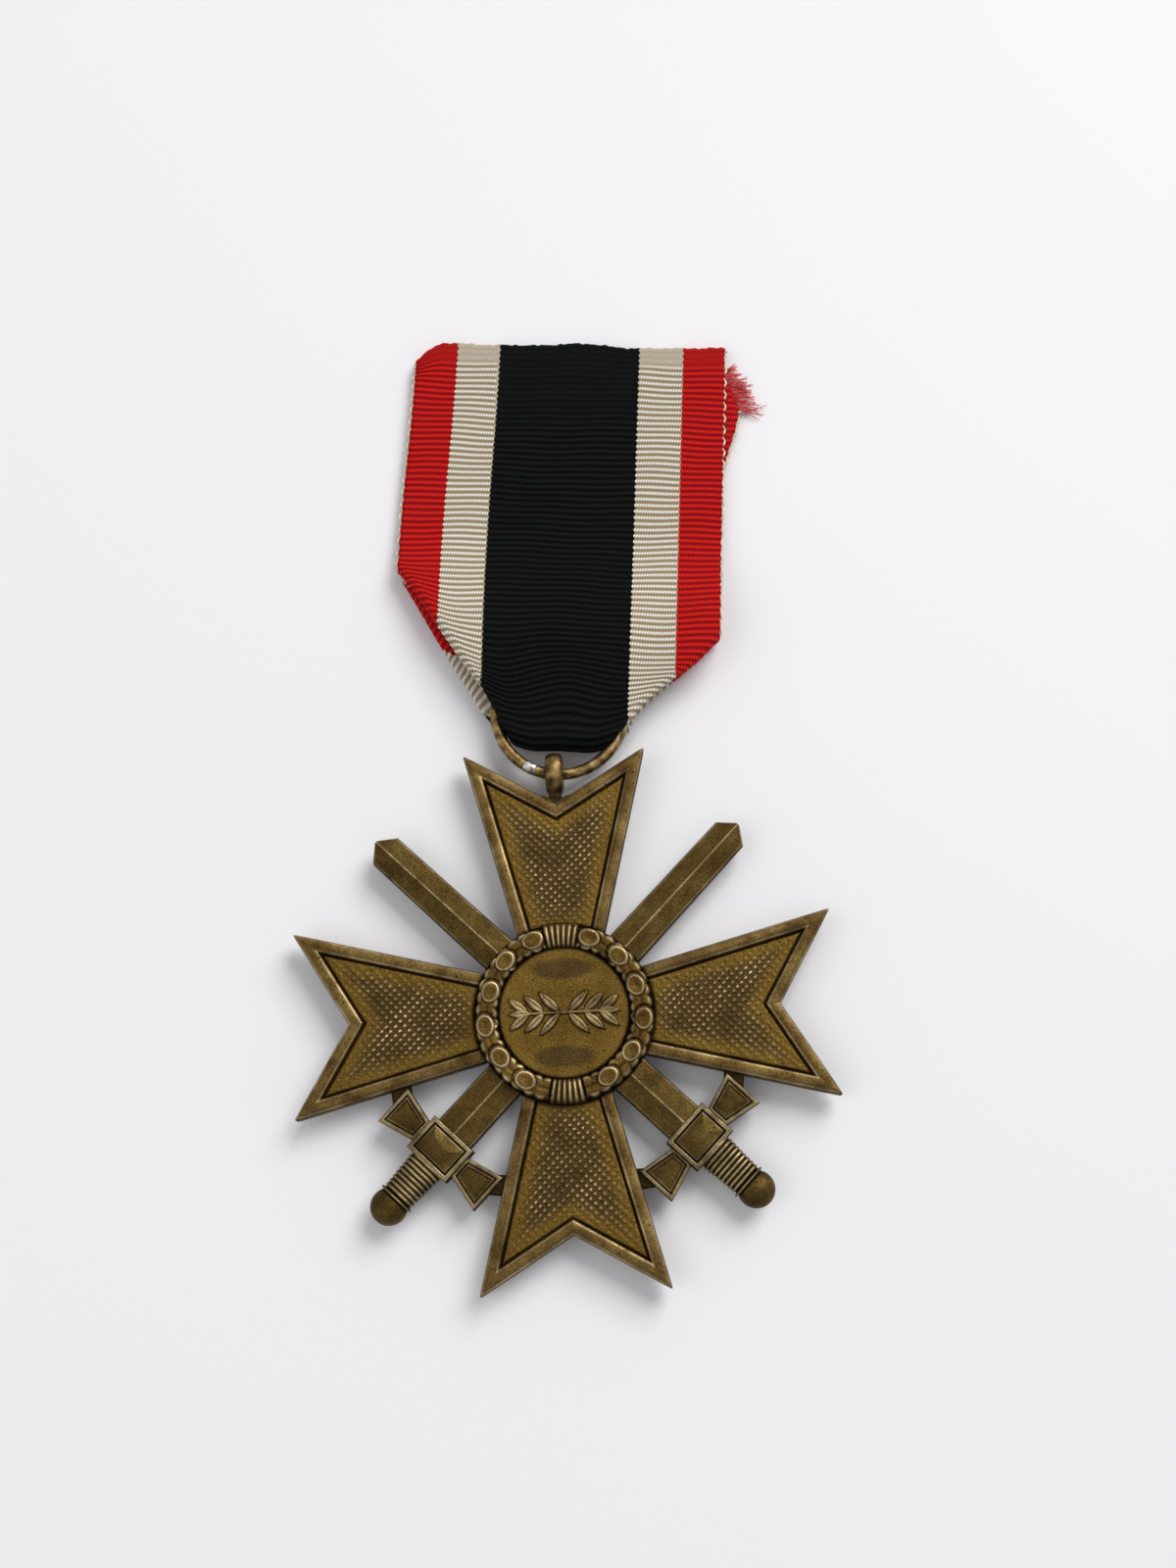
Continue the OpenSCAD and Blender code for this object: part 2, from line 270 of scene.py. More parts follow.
def placeGroup(tree, group, **values):
    node = tree.nodes.new("ShaderNodeGroup")
    node.node_tree = group
    for key, value in values.items():
        node.inputs[key].default_value = value
    return node


def addBump(tree, shader, height, strength, depth):
    # depth in millimetres
    bump = addNode(tree, "ShaderNodeBump", Strength=strength, Distance=depth * mm)
    tree.links.new(height, bump.inputs["Height"])
    tree.links.new(bump.outputs["Normal"], shader.inputs["Normal"])


def makeBronze(name, settings):
    material, tree, shader = newMaterial(name)
    old = placeGroup(tree, patina, Cloud=settings["cloud"], Grain=settings["grain"], Pits=settings["pits"])
    worn = placeGroup(tree, edgeWear, Reach=settings["reach"], Breakup=settings["breakup"])
    mask = {key: addNode(tree, "ShaderNodeAttribute", {"attribute_name": key}).outputs["Fac"]
        for key in ("yellow", "wearAndHighlight", "shade", "hollowShade")}
    base = rampNode(tree, old.outputs["Cloud"], [
        (0.34, settings["dark"]), (0.5, settings["middle"]), (0.68, settings["light"])])
    for key, share, tint in (("yellow", 0.7, "yellow"), ("shade", 0.75, "dull")):
        factor = mathNode(tree, "MULTIPLY", mask[key], share, clamp=True)
        base = mixColour(tree, factor, base, settings[tint])
    speckle = mathNode(tree, "SUBTRACT", settings["speckleFrom"], old.outputs["Height"])
    speckle = mathNode(tree, "MULTIPLY", speckle, settings["speckle"], clamp=True)
    base = mixColour(tree, speckle, base, settings["deep"])
    # rubbed places show bare metal, and so do the painted highlights from the mesh mask; both are broken up
    # by the grain and thinner under the darker clouds
    rubAndHighlight = mathNode(tree, "MULTIPLY", worn.outputs["Wear"], settings["wear"])
    rubAndHighlight = mathNode(tree, "MAXIMUM", rubAndHighlight, mask["wearAndHighlight"])
    rubAndHighlight = mathNode(tree, "MULTIPLY", rubAndHighlight, mathNode(tree, "ADD", old.outputs["Height"], settings["wearAndHighlightLeast"]))
    patchy = mathNode(tree, "SUBTRACT", old.outputs["Cloud"], settings["wearAndHighlightFrom"])
    patchy = mathNode(tree, "MULTIPLY", patchy, settings["wearAndHighlightRise"])
    rubAndHighlight = mathNode(tree, "MULTIPLY", rubAndHighlight, patchy, clamp=True)
    base = mixColour(tree, rubAndHighlight, base, settings["worn"])
    # concave places and the mesh's hollow mask get painted shade in the deep colour; pits take the same
    # colour
    cavity = mathNode(tree, "MULTIPLY", worn.outputs["Cavity"], settings["cavity"])
    cavity = mathNode(tree, "MAXIMUM", cavity, mask["hollowShade"])
    pit = mathNode(tree, "MULTIPLY", old.outputs["Pit"], settings["pitDark"])
    cavity = mathNode(tree, "MAXIMUM", cavity, pit, clamp=True)
    base = mixColour(tree, cavity, base, settings["deep"])
    tree.links.new(base, shader.inputs["Base Color"])
    rough = mixValue(tree, old.outputs["Cloud"], settings["roughHigh"], settings["roughLow"])
    rough = mixValue(tree, rubAndHighlight, rough, settings["roughWorn"])
    rough = mixValue(tree, cavity, rough, settings["roughDirt"])
    tree.links.new(rough, shader.inputs["Roughness"])
    shader.inputs["Metallic"].default_value = settings["metallic"]
    shader.inputs["Specular IOR Level"].default_value = 0.3
    addBump(tree, shader, old.outputs["Height"], settings["bump"], 0.05)
    return material


# colours run from the dark film to bare rubbed metal; the worn colour also paints highlights, and the deep
# colour is for pits and for painted shade in hollows; cloud, grain, pits and breakup are texture scales
bronzeLook = {
    "dark": (0.082, 0.043, 0.009), "middle": (0.148, 0.086, 0.018), "light": (0.225, 0.142, 0.034),
    "yellow": (0.250, 0.146, 0.024), "dull": (0.072, 0.046, 0.017), "deep": (0.010, 0.006, 0.002),
    "worn": (0.810, 0.645, 0.370), "metallic": 0.92,
    "roughLow": 0.38, "roughHigh": 0.54, "roughWorn": 0.30, "roughDirt": 0.9,
    "cloud": 300.0, "grain": 6500.0, "pits": 1500.0, "breakup": 1800.0, "bump": 0.9,
    "speckle": 3.4, "speckleFrom": 0.56, "pitDark": 0.6,
    "wear": 0.0, "cavity": 0.0, "reach": 0.05, "wearAndHighlightLeast": 0.35, "wearAndHighlightFrom": 0.28, "wearAndHighlightRise": 4.2}
bladeLook = dict(
    bronzeLook, dark=(0.066, 0.040, 0.010), middle=(0.104, 0.065, 0.016), light=(0.150, 0.099, 0.028),
    roughLow=0.40, roughHigh=0.54, cloud=420.0)
wireLook = dict(
    bronzeLook, dark=(0.045, 0.026, 0.010), middle=(0.220, 0.130, 0.040), light=(0.620, 0.430, 0.180),
    roughLow=0.22, roughHigh=0.42, cloud=900.0, speckle=1.2, wear=0.3, cavity=0.8)
solderLook = dict(
    bronzeLook, dark=(0.20, 0.19, 0.17), middle=(0.55, 0.54, 0.52), light=(0.90, 0.90, 0.88),
    yellow=(0.40, 0.36, 0.28), dull=(0.20, 0.19, 0.18),
    roughLow=0.18, roughHigh=0.40, cloud=1300.0, speckle=0.6, wear=0.5, cavity=0.8)
bronze = makeBronze("struckBronze", bronzeLook)
bladeBronze = makeBronze("bladeBronze", bladeLook)
fieldBronze = makeBronze("fieldBronze", dict(bronzeLook, cloud=380.0))
wireBrass = makeBronze("wireBrass", wireLook)
softSolder = makeBronze("softSolder", solderLook)
print("materials made")


# the four arms

# the mesh lines over the rim, and the groove's place and width, are shares of the rim's width
armShape = {
    "tipWidth": 16.6, "rootWidth": 8.0, "notchDepth": 4.95, "tipRound": 0.2,
    "rimWidth": 1.2, "grooveAt": 1.04, "grooveWidth": 0.055, "grooveDepth": 0.2, "fieldDrop": 0.36,
    "beadPitch": 0.57, "beadRadius": 0.2, "beadHeight": 0.13, "fieldStep": 0.092,
    "rimLines": [
        0, 0.03, 0.08, 0.15, 0.24, 0.35, 0.5, 0.65, 0.76, 0.85,
        0.92, 0.97, 1.0, 1.03, 1.06, 1.1, 1.16, 1.25]}
armRootY = wreathRadius - 0.55  # the arms start just under the wreath


def armGrid():
    # every point is where a line along the arm meets a line along its notched end
    s = armShape
    end = armsHigh[1]
    flare = (s["tipWidth"] - s["rootWidth"]) / 2 / (end - armRootY)
    notchY = end - s["notchDepth"]
    slope = s["notchDepth"] / (s["tipWidth"] / 2)
    sideCos = 1 / math.hypot(1, flare)
    endCos = 1 / math.hypot(1, slope)
    innerY = plateRadius - 0.6
    rimLines = [line * s["rimWidth"] for line in s["rimLines"]]
    deep = rimLines[-1]
    half0 = s["rootWidth"] / 2 - armRootY * flare
    columns = [(half0 - line / sideCos, flare) for line in rimLines]
    across = int((s["tipWidth"] / 2 - deep) / s["fieldStep"] / 1.25)
    for i in range(1, across + 1):
        g = 1 - i / across
        columns.append((g * (half0 - deep / sideCos), g * flare))
    rows = [(notchY - line / endCos, slope) for line in rimLines]
    along = int((end - innerY - deep) / s["fieldStep"])
    for j in range(1, along + 1):
        h = 1 - j / along
        rows.append((innerY + h * (notchY - deep / endCos - innerY), h * slope))
    a, b = np.array(columns).T
    p, q = np.array(rows).T
    y = (p[:, None] + q[:, None] * a[None, :]) / (1 - q[:, None] * b[None, :])
    x = a[None, :] + b[None, :] * y
    sideGap = (half0 + flare * y - x) * sideCos
    endGap = (notchY + slope * x - y) * endCos
    return x, y, sideGap, endGap


def groove(d):
    # 1 along the middle of the narrow groove inside the rim
    s = armShape
    return np.exp(-((d / s["rimWidth"] - s["grooveAt"]) / s["grooveWidth"]) ** 2)


def rimHeight(d):
    # half-round rim, then a narrow groove, then the level of the field
    s = armShape
    w = s["rimWidth"]
    t = np.clip(d / w, 0, 1)
    crown = dome(2 * t - 1, 2.6)
    top = armsHigh[2]
    field = top - s["fieldDrop"]
    z = field - 0.02 + (top - field + 0.02) * crown
    z = np.where(d < 0.35 * w, np.maximum(z, top - 0.5 + 0.5 * np.sqrt(np.clip(t / 0.35, 0, 1))), z)
    return np.where(d > w, field, z) - groove(d) * s["grooveDepth"]


def roundTip(x, y):
    # draws the sharp corner of an arm back into a small round nose
    s = armShape
    end = armsHigh[1]
    sideEdge = np.array([(s["tipWidth"] - s["rootWidth"]) / 2, end - armRootY])
    endEdge = np.array([s["tipWidth"] / 2, s["notchDepth"]])
    out = sideEdge / np.linalg.norm(sideEdge) + endEdge / np.linalg.norm(endEdge)
    out /= np.linalg.norm(out)
    depth = (s["tipWidth"] / 2 - x) * out[0] + (end - y) * out[1]
    back = np.sqrt(depth ** 2 + s["tipRound"] ** 2) - depth
    return x - out[0] * back, y - out[1] * back


def armFace(side, index):
    # one half of one face: heights, and the masks for the bronze
    s = armShape
    x, y, sideGap, endGap = armGrid()
    d = np.minimum(sideGap, endGap)
    z = rimHeight(d)
    # beads stand on a grid turned by 45 degrees, each a little off its place
    diagonal = s["beadPitch"] * math.sqrt(2)
    i = np.round((x * side + y) / diagonal)
    j = np.round((x * side - y) / diagonal)
    beadX = (i + j) * diagonal / 2
    beadY = (i - j) * diagonal / 2
    wander = 0.05 * np.sin(i * 12.9 + j * 7.3)
    gap = np.hypot(x * side - beadX - wander, y - beadY + wander)
    fade = smoothStep(s["rimWidth"] + 0.5, s["rimWidth"] + 2.1, d)
    rootFade = smoothStep(wreathRadius - 0.2, wreathRadius + 1.8, y)
    patch = 0.72 + 0.28 * np.sin(x * side * 0.55 + index * 2.1) * np.sin(y * 0.5 + index)
    luck = 0.75 + 0.25 * np.sin(i * 51.3 + j * 37.7 + index)
    strength = (0.35 + 0.65 * fade) * (0.3 + 0.7 * rootFade)
    inField = smoothStep(s["rimWidth"] + 0.12, s["rimWidth"] + 0.3, d)
    bead = np.clip(1 - (gap / s["beadRadius"]) ** 2, 0, 1)
    z = z + bead * strength * inField * s["beadHeight"]
    # bead tops get painted highlights, in patches, fading towards the rim and the wreath
    wearAndHighlight = np.clip(bead * 3.2 - 1.9, 0, 1) * inField * fade * rootFade * patch * luck
    # the rim gets a faint painted highlight along its crown and rubbed bright lines along both its edges
    crown = np.exp(-((d / s["rimWidth"] - 0.42) / 0.3) ** 2)
    edges = np.exp(-((d - 0.12) / 0.05) ** 2) + 0.9 * np.exp(-((d / s["rimWidth"] - 0.84) / 0.05) ** 2)
    wearAndHighlight = np.clip(wearAndHighlight + crown * 0.05 + 0.6 * edges, 0, 1)
    yellow = inField * (1 - 0.85 * fade) + 0.5 * inField * (1 - rootFade)
    # the field darkens towards its middle, a tone of the metal; the darkening is halved on bead tops, which
    # leaves painted shade between the beads
    shade = (0.25 + 0.75 * fade * rootFade) * inField * (1 - 0.5 * bead)
    # painted shade in the groove, round the foot of the raised wreath and down the outer edge
    foot = 1 - smoothStep(wreathRadius - 0.05, wreathRadius + 0.4, np.hypot(x, y))
    wall = 1 - smoothStep(0.0, 0.09, d)
    hollowShade = np.clip(0.85 * groove(d) + 0.85 * foot + 0.55 * wall, 0, 1)
    x, y = roundTip(x, y)
    return x, y, z, {"wearAndHighlight": wearAndHighlight, "yellow": np.clip(yellow, 0, 1), "shade": shade, "hollowShade": hollowShade}


def makeArm(name, index):
    points, faces = [], []
    masks = {"wearAndHighlight": [], "yellow": [], "shade": [], "hollowShade": []}
    for flip in (1, -1):
        for side in (1, -1):
            x, y, z, maps = armFace(side, index)
            start = sum(len(block) for block in points)
            rows, columns = x.shape
            if flip < 0:
                z = 2 * midZ - z
            block = np.stack([x * side, y, z], axis=-1).reshape(-1, 3)
            points.append(block)
            faces += gridFaces(rows, columns, start)
            for key, values in maps.items():
                masks[key].append(values.ravel())
            # edge wall down to the middle plane: end line, then side line, then root
            border = [(0, c) for c in range(columns - 1, -1, -1)] + [(r, 0) for r in range(1, rows)]
            border += [(rows - 1, c) for c in range(1, columns)]
            ring = [start + r * columns + c for r, c in border]
            wallStart = start + len(block)
            wall = np.array([[x[r, c] * side, y[r, c], midZ] for r, c in border])
            points.append(wall)
            for key in masks:
                masks[key].append(np.zeros(len(wall)))
            for k in range(len(ring) - 1):
                faces.append([ring[k], ring[k + 1], wallStart + k + 1, wallStart + k])
    points = np.concatenate(points)
    points = points @ turnAbout(math.radians(90 * index))
    masks = {key: np.concatenate(values) for key, values in masks.items()}
    mesh = meshFrom(name, points, faces, attributes=masks)
    cleanMesh(mesh)
    piece = newObject(name, mesh, fieldBronze, "cross")
    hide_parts("cross_arms")


for index, place in enumerate(("top", "left", "bottom", "right")):
    makeArm("arm_" + place, index)
print("arms made")


# round pieces made by turning a profile

def turned(name, profile, count, material, body):
    points = []
    for r, z in profile:
        points += [[r * math.cos(a), r * math.sin(a), z] for a in circle(count)]
    faces = gridFaces(len(profile), count, closed=True)
    mesh = meshFrom(name, points, faces)
    cleanMesh(mesh)
    return newObject(name, mesh, material, body)


hubShape = {"inset": 0.15, "edge": 0.1, "sides": 160}
hubRadius = wreathRadius - hubShape["inset"]
hubFlat = hubRadius - hubShape["edge"]
hubProfile = [
    (0.001, armsHigh[2]), (hubFlat, armsHigh[2]), (hubRadius, armsHigh[2] - hubShape["edge"]),
    (hubRadius, armsLow[2] + hubShape["edge"]), (hubFlat, armsLow[2]), (0.001, armsLow[2])]
hub = turned("hub", hubProfile, hubShape["sides"], bronze, "cross")
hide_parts("cross_arms")

# oak-leaf wreath

wreathShape = {
    "clusters": 6, "firstTab": 21.0, "tabStep": 25.4, "tabLength": 1.1, "tabWidth": 0.88,
    "lobeStep": 0.98, "leafHalf": 0.86, "lobeReach": 0.18, "vein": 0.12,
    "bindingArc": 12.0, "bindingRibs": 6, "angles": 1150, "radii": 44}  # first tab, step and arc in degrees


def hoop(radius, theta):
    # one ring of points on the middle plane
    return np.stack([radius * np.cos(theta), radius * np.sin(theta), np.full_like(theta, midZ)], axis=-1)


def wreathHeight(angle, radius):
    # share of the full height and a painted-highlight mask; the angle runs from the top binding (0) to the
    # bottom one (180) on both sides
    s = wreathShape
    middle = (plateRadius + wreathRadius) / 2
    across = radius - middle
    z = np.zeros_like(angle)
    wreathHighlight = np.zeros_like(angle)
    for k in range(-1, s["clusters"]):
        along = np.radians(angle - s["firstTab"] - k * s["tabStep"]) * middle
        shift = 0.15 * math.sin(k * 2.3 + 0.6)
        reach = np.clip(along, 0, 3.2)
        wave = np.where(across > 0, reach - 0.15, reach - 0.5) / s["lobeStep"] * math.pi
        lobe = np.abs(np.sin(wave))
        half = s["leafHalf"] + 0.03 * np.sin(reach * 2.1 + k) + s["lobeReach"] * lobe ** 0.8
        side = np.abs(across - 0.4 * shift) / half
        leaf = 0.76 * dome(side, 5) * dome((along - 1.5) / 1.68, 10)
        body = leaf > 0.3
        leaf -= 0.07 * np.exp(-(lobe / 0.28) ** 2) * side ** 2 * body
        leaf -= s["vein"] * np.exp(-((across - 0.4 * shift) / 0.09) ** 2) * body
        z = np.maximum(z, leaf)
        # a painted highlight runs along the lobed edges of each leaf
        wreathHighlight = np.maximum(wreathHighlight, 0.8 * np.exp(-((side - 0.8) / 0.12) ** 2) * lobe * body)
        if k < 0:
            continue
        # a rounded tab with an outline lies over the foot of each leaf
        edge = np.hypot(along / s["tabLength"], (across - shift) / s["tabWidth"])
        tab = 0.93 * dome(edge, 6) - 0.12 * np.exp(-(edge / 0.6) ** 2)
        tab += 0.05 * np.exp(-((edge - 0.82) / 0.09) ** 2)
        outline = 0.5 * np.exp(-((edge - 1.06) / 0.07) ** 2) * (1 - smoothStep(-0.2, 0.5, along))
        # the tab's outline carries a painted highlight
        wreathHighlight = np.where(edge < 1, np.exp(-((edge - 0.84) / 0.12) ** 2), wreathHighlight * (1 - outline))
        z = np.where(edge < 1, np.maximum(tab, 0.45), z * (1 - outline))
    toBinding = np.minimum(angle, 180 - angle) / s["bindingArc"]
    ribs = np.abs(np.sin(toBinding * s["bindingRibs"] / 2 * math.pi)) ** 0.7
    bound = (0.62 + 0.34 * ribs - 0.16 * (across / 0.9) ** 2) * dome(across / 1.06, 8)
    z = np.where(toBinding < 1, bound, z * smoothStep(1.0, 1.12, toBinding))
    # painted highlights on the tops of the binding's ribs
    wreathHighlight = np.where(toBinding < 1, np.clip(ribs * 1.6 - 1.0, 0, 1) * 0.8, wreathHighlight)
    return z, wreathHighlight


def makeWreath(name, node, height, base, facing):
    s = wreathShape
    inner, outer = plateRadius, wreathRadius
    theta = circle(s["angles"])
    radius = np.concatenate([[inner - 0.02], np.linspace(inner, outer, s["radii"])])
    turn = np.degrees(theta)
    fromTop = np.abs((turn - 90 + 180) % 360 - 180)
    angleGrid, radiusGrid = np.meshgrid(fromTop, radius)
    share, wreathHighlight = wreathHeight(angleGrid, radiusGrid)
    z = np.maximum(share * height, 0.02)
    z[0] = 0.0
    z[-1] = np.minimum(z[-1], 0.3 * height)
    points = np.stack([radiusGrid * np.cos(theta), radiusGrid * np.sin(theta), base + facing * z], axis=-1)
    low, foot = hoop(outer, theta), hoop(radius[0], theta)
    everything = np.concatenate([foot[None], points, low[None], foot[None]]).reshape(-1, 3)
    faces = gridFaces(len(radius) + 3, s["angles"], closed=True)
    skirt = np.zeros(s["angles"])
    # low places between the leaves and the outer wall get painted shade
    hollowShade = np.clip(1 - share / 0.34, 0, 1) ** 1.4
    masks = {"wearAndHighlight": np.concatenate([skirt, wreathHighlight.ravel(), skirt, skirt]),
        "hollowShade": np.concatenate([skirt, hollowShade.ravel(), skirt + 0.6, skirt])}
    mesh = meshFrom(name, everything, faces, attributes=masks)
    cleanMesh(mesh)
    piece = newObject(name, mesh, fieldBronze, "cross")
    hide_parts(node)


makeWreath("wreath_front", "front_wreath", wreathTop - armsHigh[2], armsHigh[2], 1)
makeWreath("wreath_back", "back_wreath", armsLow[2] - backWreathLow[2], armsLow[2], -1)
print("wreaths made")

# medallion plates and the raised sprig

plateShape = {
    "dish": 0.05, "sprigHeight": 0.34, "leafLength": 2.75, "leafWidth": 1.02, "stemHalf": 4.1, "pairs": 3,
    "step": 0.06, "sides": 520, "stainHalf": (2.9, 1.0), "stainAt": 3.85}


def leafField(x, y, foot, angle, length, width):
    # height from 0 to 1 over a pointed leaf with a midrib
    c, s = math.cos(angle), math.sin(angle)
    u = ((x - foot[0]) * c + (y - foot[1]) * s) / length
    v = (-(x - foot[0]) * s + (y - foot[1]) * c) / (width / 2)
    half = np.sin(np.clip(u, 0, 1) * math.pi) ** 0.75 * (1 - 0.25 * np.clip(u, 0, 1))
    inside = (u > 0) & (u < 1) & (np.abs(v) < half)
    edge = np.clip((half - np.abs(v)) / 0.55, 0, 1)
    body = dome(1 - edge)
    rib = 0.26 * np.exp(-(v / 0.13) ** 2)
    return np.where(inside, body - rib, 0)


def sprigHeight(x, y):
    s = plateShape
    z = np.zeros_like(x)
    for turn in (1, -1):
        for pair in range(s["pairs"]):
            foot = (turn * (0.35 + pair * s["stemHalf"] / s["pairs"]), 0)
            for side in (1, -1):
                angle = side * math.radians(46 - 4 * pair)
                angle = angle if turn > 0 else math.pi - angle
                length = s["leafLength"] * (1 - 0.08 * pair)
                z = np.maximum(z, leafField(x, y, foot, angle, length, s["leafWidth"]))
        tip = (turn * s["stemHalf"] * 0.68, 0)
        angle = 0 if turn > 0 else math.pi
        z = np.maximum(z, leafField(x, y, tip, angle, s["leafLength"] * 0.8, s["leafWidth"] * 0.9))
    stem = np.where(np.abs(x) < s["stemHalf"], dome(y / 0.17) * 0.85, 0)
    return np.maximum(z, stem)


def makePlate(name, nodes, level, facing, withSprig):
    s = plateShape
    radius = np.concatenate([[0.001], np.arange(s["step"], plateRadius, s["step"]), [plateRadius]])
    count = s["sides"]
    theta = circle(count)
    grid, turn = np.meshgrid(radius, theta, indexing="ij")
    x, y = grid * np.cos(turn), grid * np.sin(turn)
    z = -s["dish"] * (1 - (grid / plateRadius) ** 2) if withSprig else np.zeros_like(x)
    raised = sprigHeight(x, y) if withSprig else np.zeros_like(x)
    raised = np.where(grid < 0.15, raised[grid < 0.15].max(), raised)  # the very middle stays even
    top = level + facing * (z + raised * s["sprigHeight"])
    low = hoop(plateRadius, theta)
    everything = np.concatenate([np.stack([x, y, top], axis=-1), low[None]]).reshape(-1, 3)
    faces = gridFaces(len(radius) + 1, count, closed=True)
    faces.append(list(range(len(everything) - count, len(everything))))
    # two dull oval stains, above and below the sprig
    fromStain = np.hypot(x / s["stainHalf"][0], (np.abs(y) - s["stainAt"]) / s["stainHalf"][1])
    oval = 1 - smoothStep(0.62, 1.12, fromStain) if withSprig else np.zeros_like(x)
    # the sprig's raised tops get painted highlights; the plate's rim and the foot of the sprig get painted
    # shade
    around = np.clip(raised, 0, 1)
    hollowShade = smoothStep(plateRadius - 0.3, plateRadius, grid) * 0.9
    hollowShade = hollowShade + np.exp(-((around - 0.12) / 0.1) ** 2) * (raised > 0)
    masks = {
        "wearAndHighlight": np.clip(around - 0.6, 0, 1) * 1.1, "shade": oval,
        "yellow": np.clip(0.55 - oval - around, 0, 1), "hollowShade": np.clip(hollowShade, 0, 1)}
    masks = {key: np.concatenate([values.ravel(), np.zeros(count)]) for key, values in masks.items()}
    mesh = meshFrom(name, everything, faces, attributes=masks)
    cleanMesh(mesh)
    piece = newObject(name, mesh, fieldBronze, "cross")
    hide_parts(*nodes)


makePlate("medallion_front", ["front_medallion", "front_sprig"], plateTop, 1, True)
makePlate("medallion_back", ["back_medallion"], 0.0, -1, False)
print("medallion made")

# swords: each part is a plate struck in steps from its outline

swordShape = {
    "reach": 23.2, "tipWidth": 3.2, "guardWidth": 3.8, "ridge": 0.8, "edge": 0.56, "pointLength": 1.28,
    "guardAt": 15.9, "blockWidth": 4.6, "blockLength": 3.6,
    "quillonSpan": 11.4, "quillonInner": 2.1, "quillonOuter": 3.8,
    "gripLength": 3.6, "gripWidth": 3.4, "gripEnd": 2.95, "ribs": 9, "pommel": 3.3}


def insetOutline(points, distance):
    # corners moved inwards along their bisectors; the outline runs anticlockwise
    points = np.asarray(points, dtype=float)
    before, after = points - np.roll(points, 1, axis=0), np.roll(points, -1, axis=0) - points
    before /= np.linalg.norm(before, axis=1)[:, None]
    after /= np.linalg.norm(after, axis=1)[:, None]
    sideA = np.stack([-before[:, 1], before[:, 0]], axis=1)
    sideB = np.stack([-after[:, 1], after[:, 0]], axis=1)
    dot = (sideA * sideB).sum(axis=1)[:, None]
    return points + (sideA + sideB) * distance / (1 + dot)


def strikePlate(outline, steps):
    # rings of (inset, height, mask) on both faces, closed flat
    # a mask above 0 paints shade in hollows, and a mask below 0 paints highlights in the rubbed-metal colour
    # on raised edges
    points, faces, hollowShade = [], [], []
    n = len(outline)
    for facing in (1, -1):
        start = len(points)
        for inset, height, dark in steps:
            points += [[p[0], p[1], facing * height] for p in insetOutline(outline, inset)]
            hollowShade += [dark] * n
        faces += gridFaces(len(steps), n, start, closed=True)
        last = start + (len(steps) - 1) * n
        faces.append([last + k for k in range(n)])
    return points, faces, hollowShade


def gatherParts(parts):
    # each part is points and faces, with or without a mask
    points, faces, hollowShade = [], [], []
    for part in parts:
        start = len(points)
        points += [list(p) for p in part[0]]
        faces += [[start + k for k in face] for face in part[1]]
        hollowShade += list(part[2]) if len(part) > 2 else [0.0] * len(part[0])
    return np.array(points), faces, np.array(hollowShade)


def bladePart(low, high, pointed):
    # low roof section with thin chamfered edges; the point is cut across the full section
    s = swordShape
    shoulder = s["reach"] - s["pointLength"]
    stations = [(y, 1.0) for y in np.linspace(low, min(high, shoulder), 40)]
    if pointed:
        stations += [(shoulder + (1 - f) * s["pointLength"], f) for f in (0.86, 0.7, 0.52, 0.34, 0.2, 0.13)]
    taper = (s["tipWidth"] - s["guardWidth"]) / 2 / (s["reach"] + s["guardAt"])
    points, hollowShade = [], []
    for y, share in stations:
        w = s["guardWidth"] / 2 + (y + s["guardAt"]) * taper
        half = w * share
        rim = min(0.13, half * 0.4)

        def roof(x):
            return s["ridge"] - (s["ridge"] - s["edge"]) * x / w

        # the third value paints shade low on the edge (above 0) and highlights on the chamfer's inner line
        # and along the ridge (below 0)
        right = [
            (half, 0, 0.5), (half, roof(half) - 0.15, 0.3), (half - rim, roof(half - rim), -0.3),
            (half - rim * 1.7, roof(half - rim * 1.7), 0), (half * 0.5, roof(half * 0.5), 0),
            (min(0.1, half * 0.2), roof(0.1), 0)]
        top = right + [(0, roof(0), -0.45)] + [(-x, z, dark) for x, z, dark in right[::-1]]
        section = top + [(x, -z, dark) for x, z, dark in top[::-1][1:-1]]
        points += [[x, y, z] for x, z, dark in section]
        hollowShade += [dark for x, z, dark in section]
    rows, count = len(stations), len(section)
    faces = gridFaces(rows, count, closed=True)
    faces.append([count - 1 - k for k in range(count)])
    faces.append([(rows - 1) * count + k for k in range(count)])
    return points, faces, hollowShade


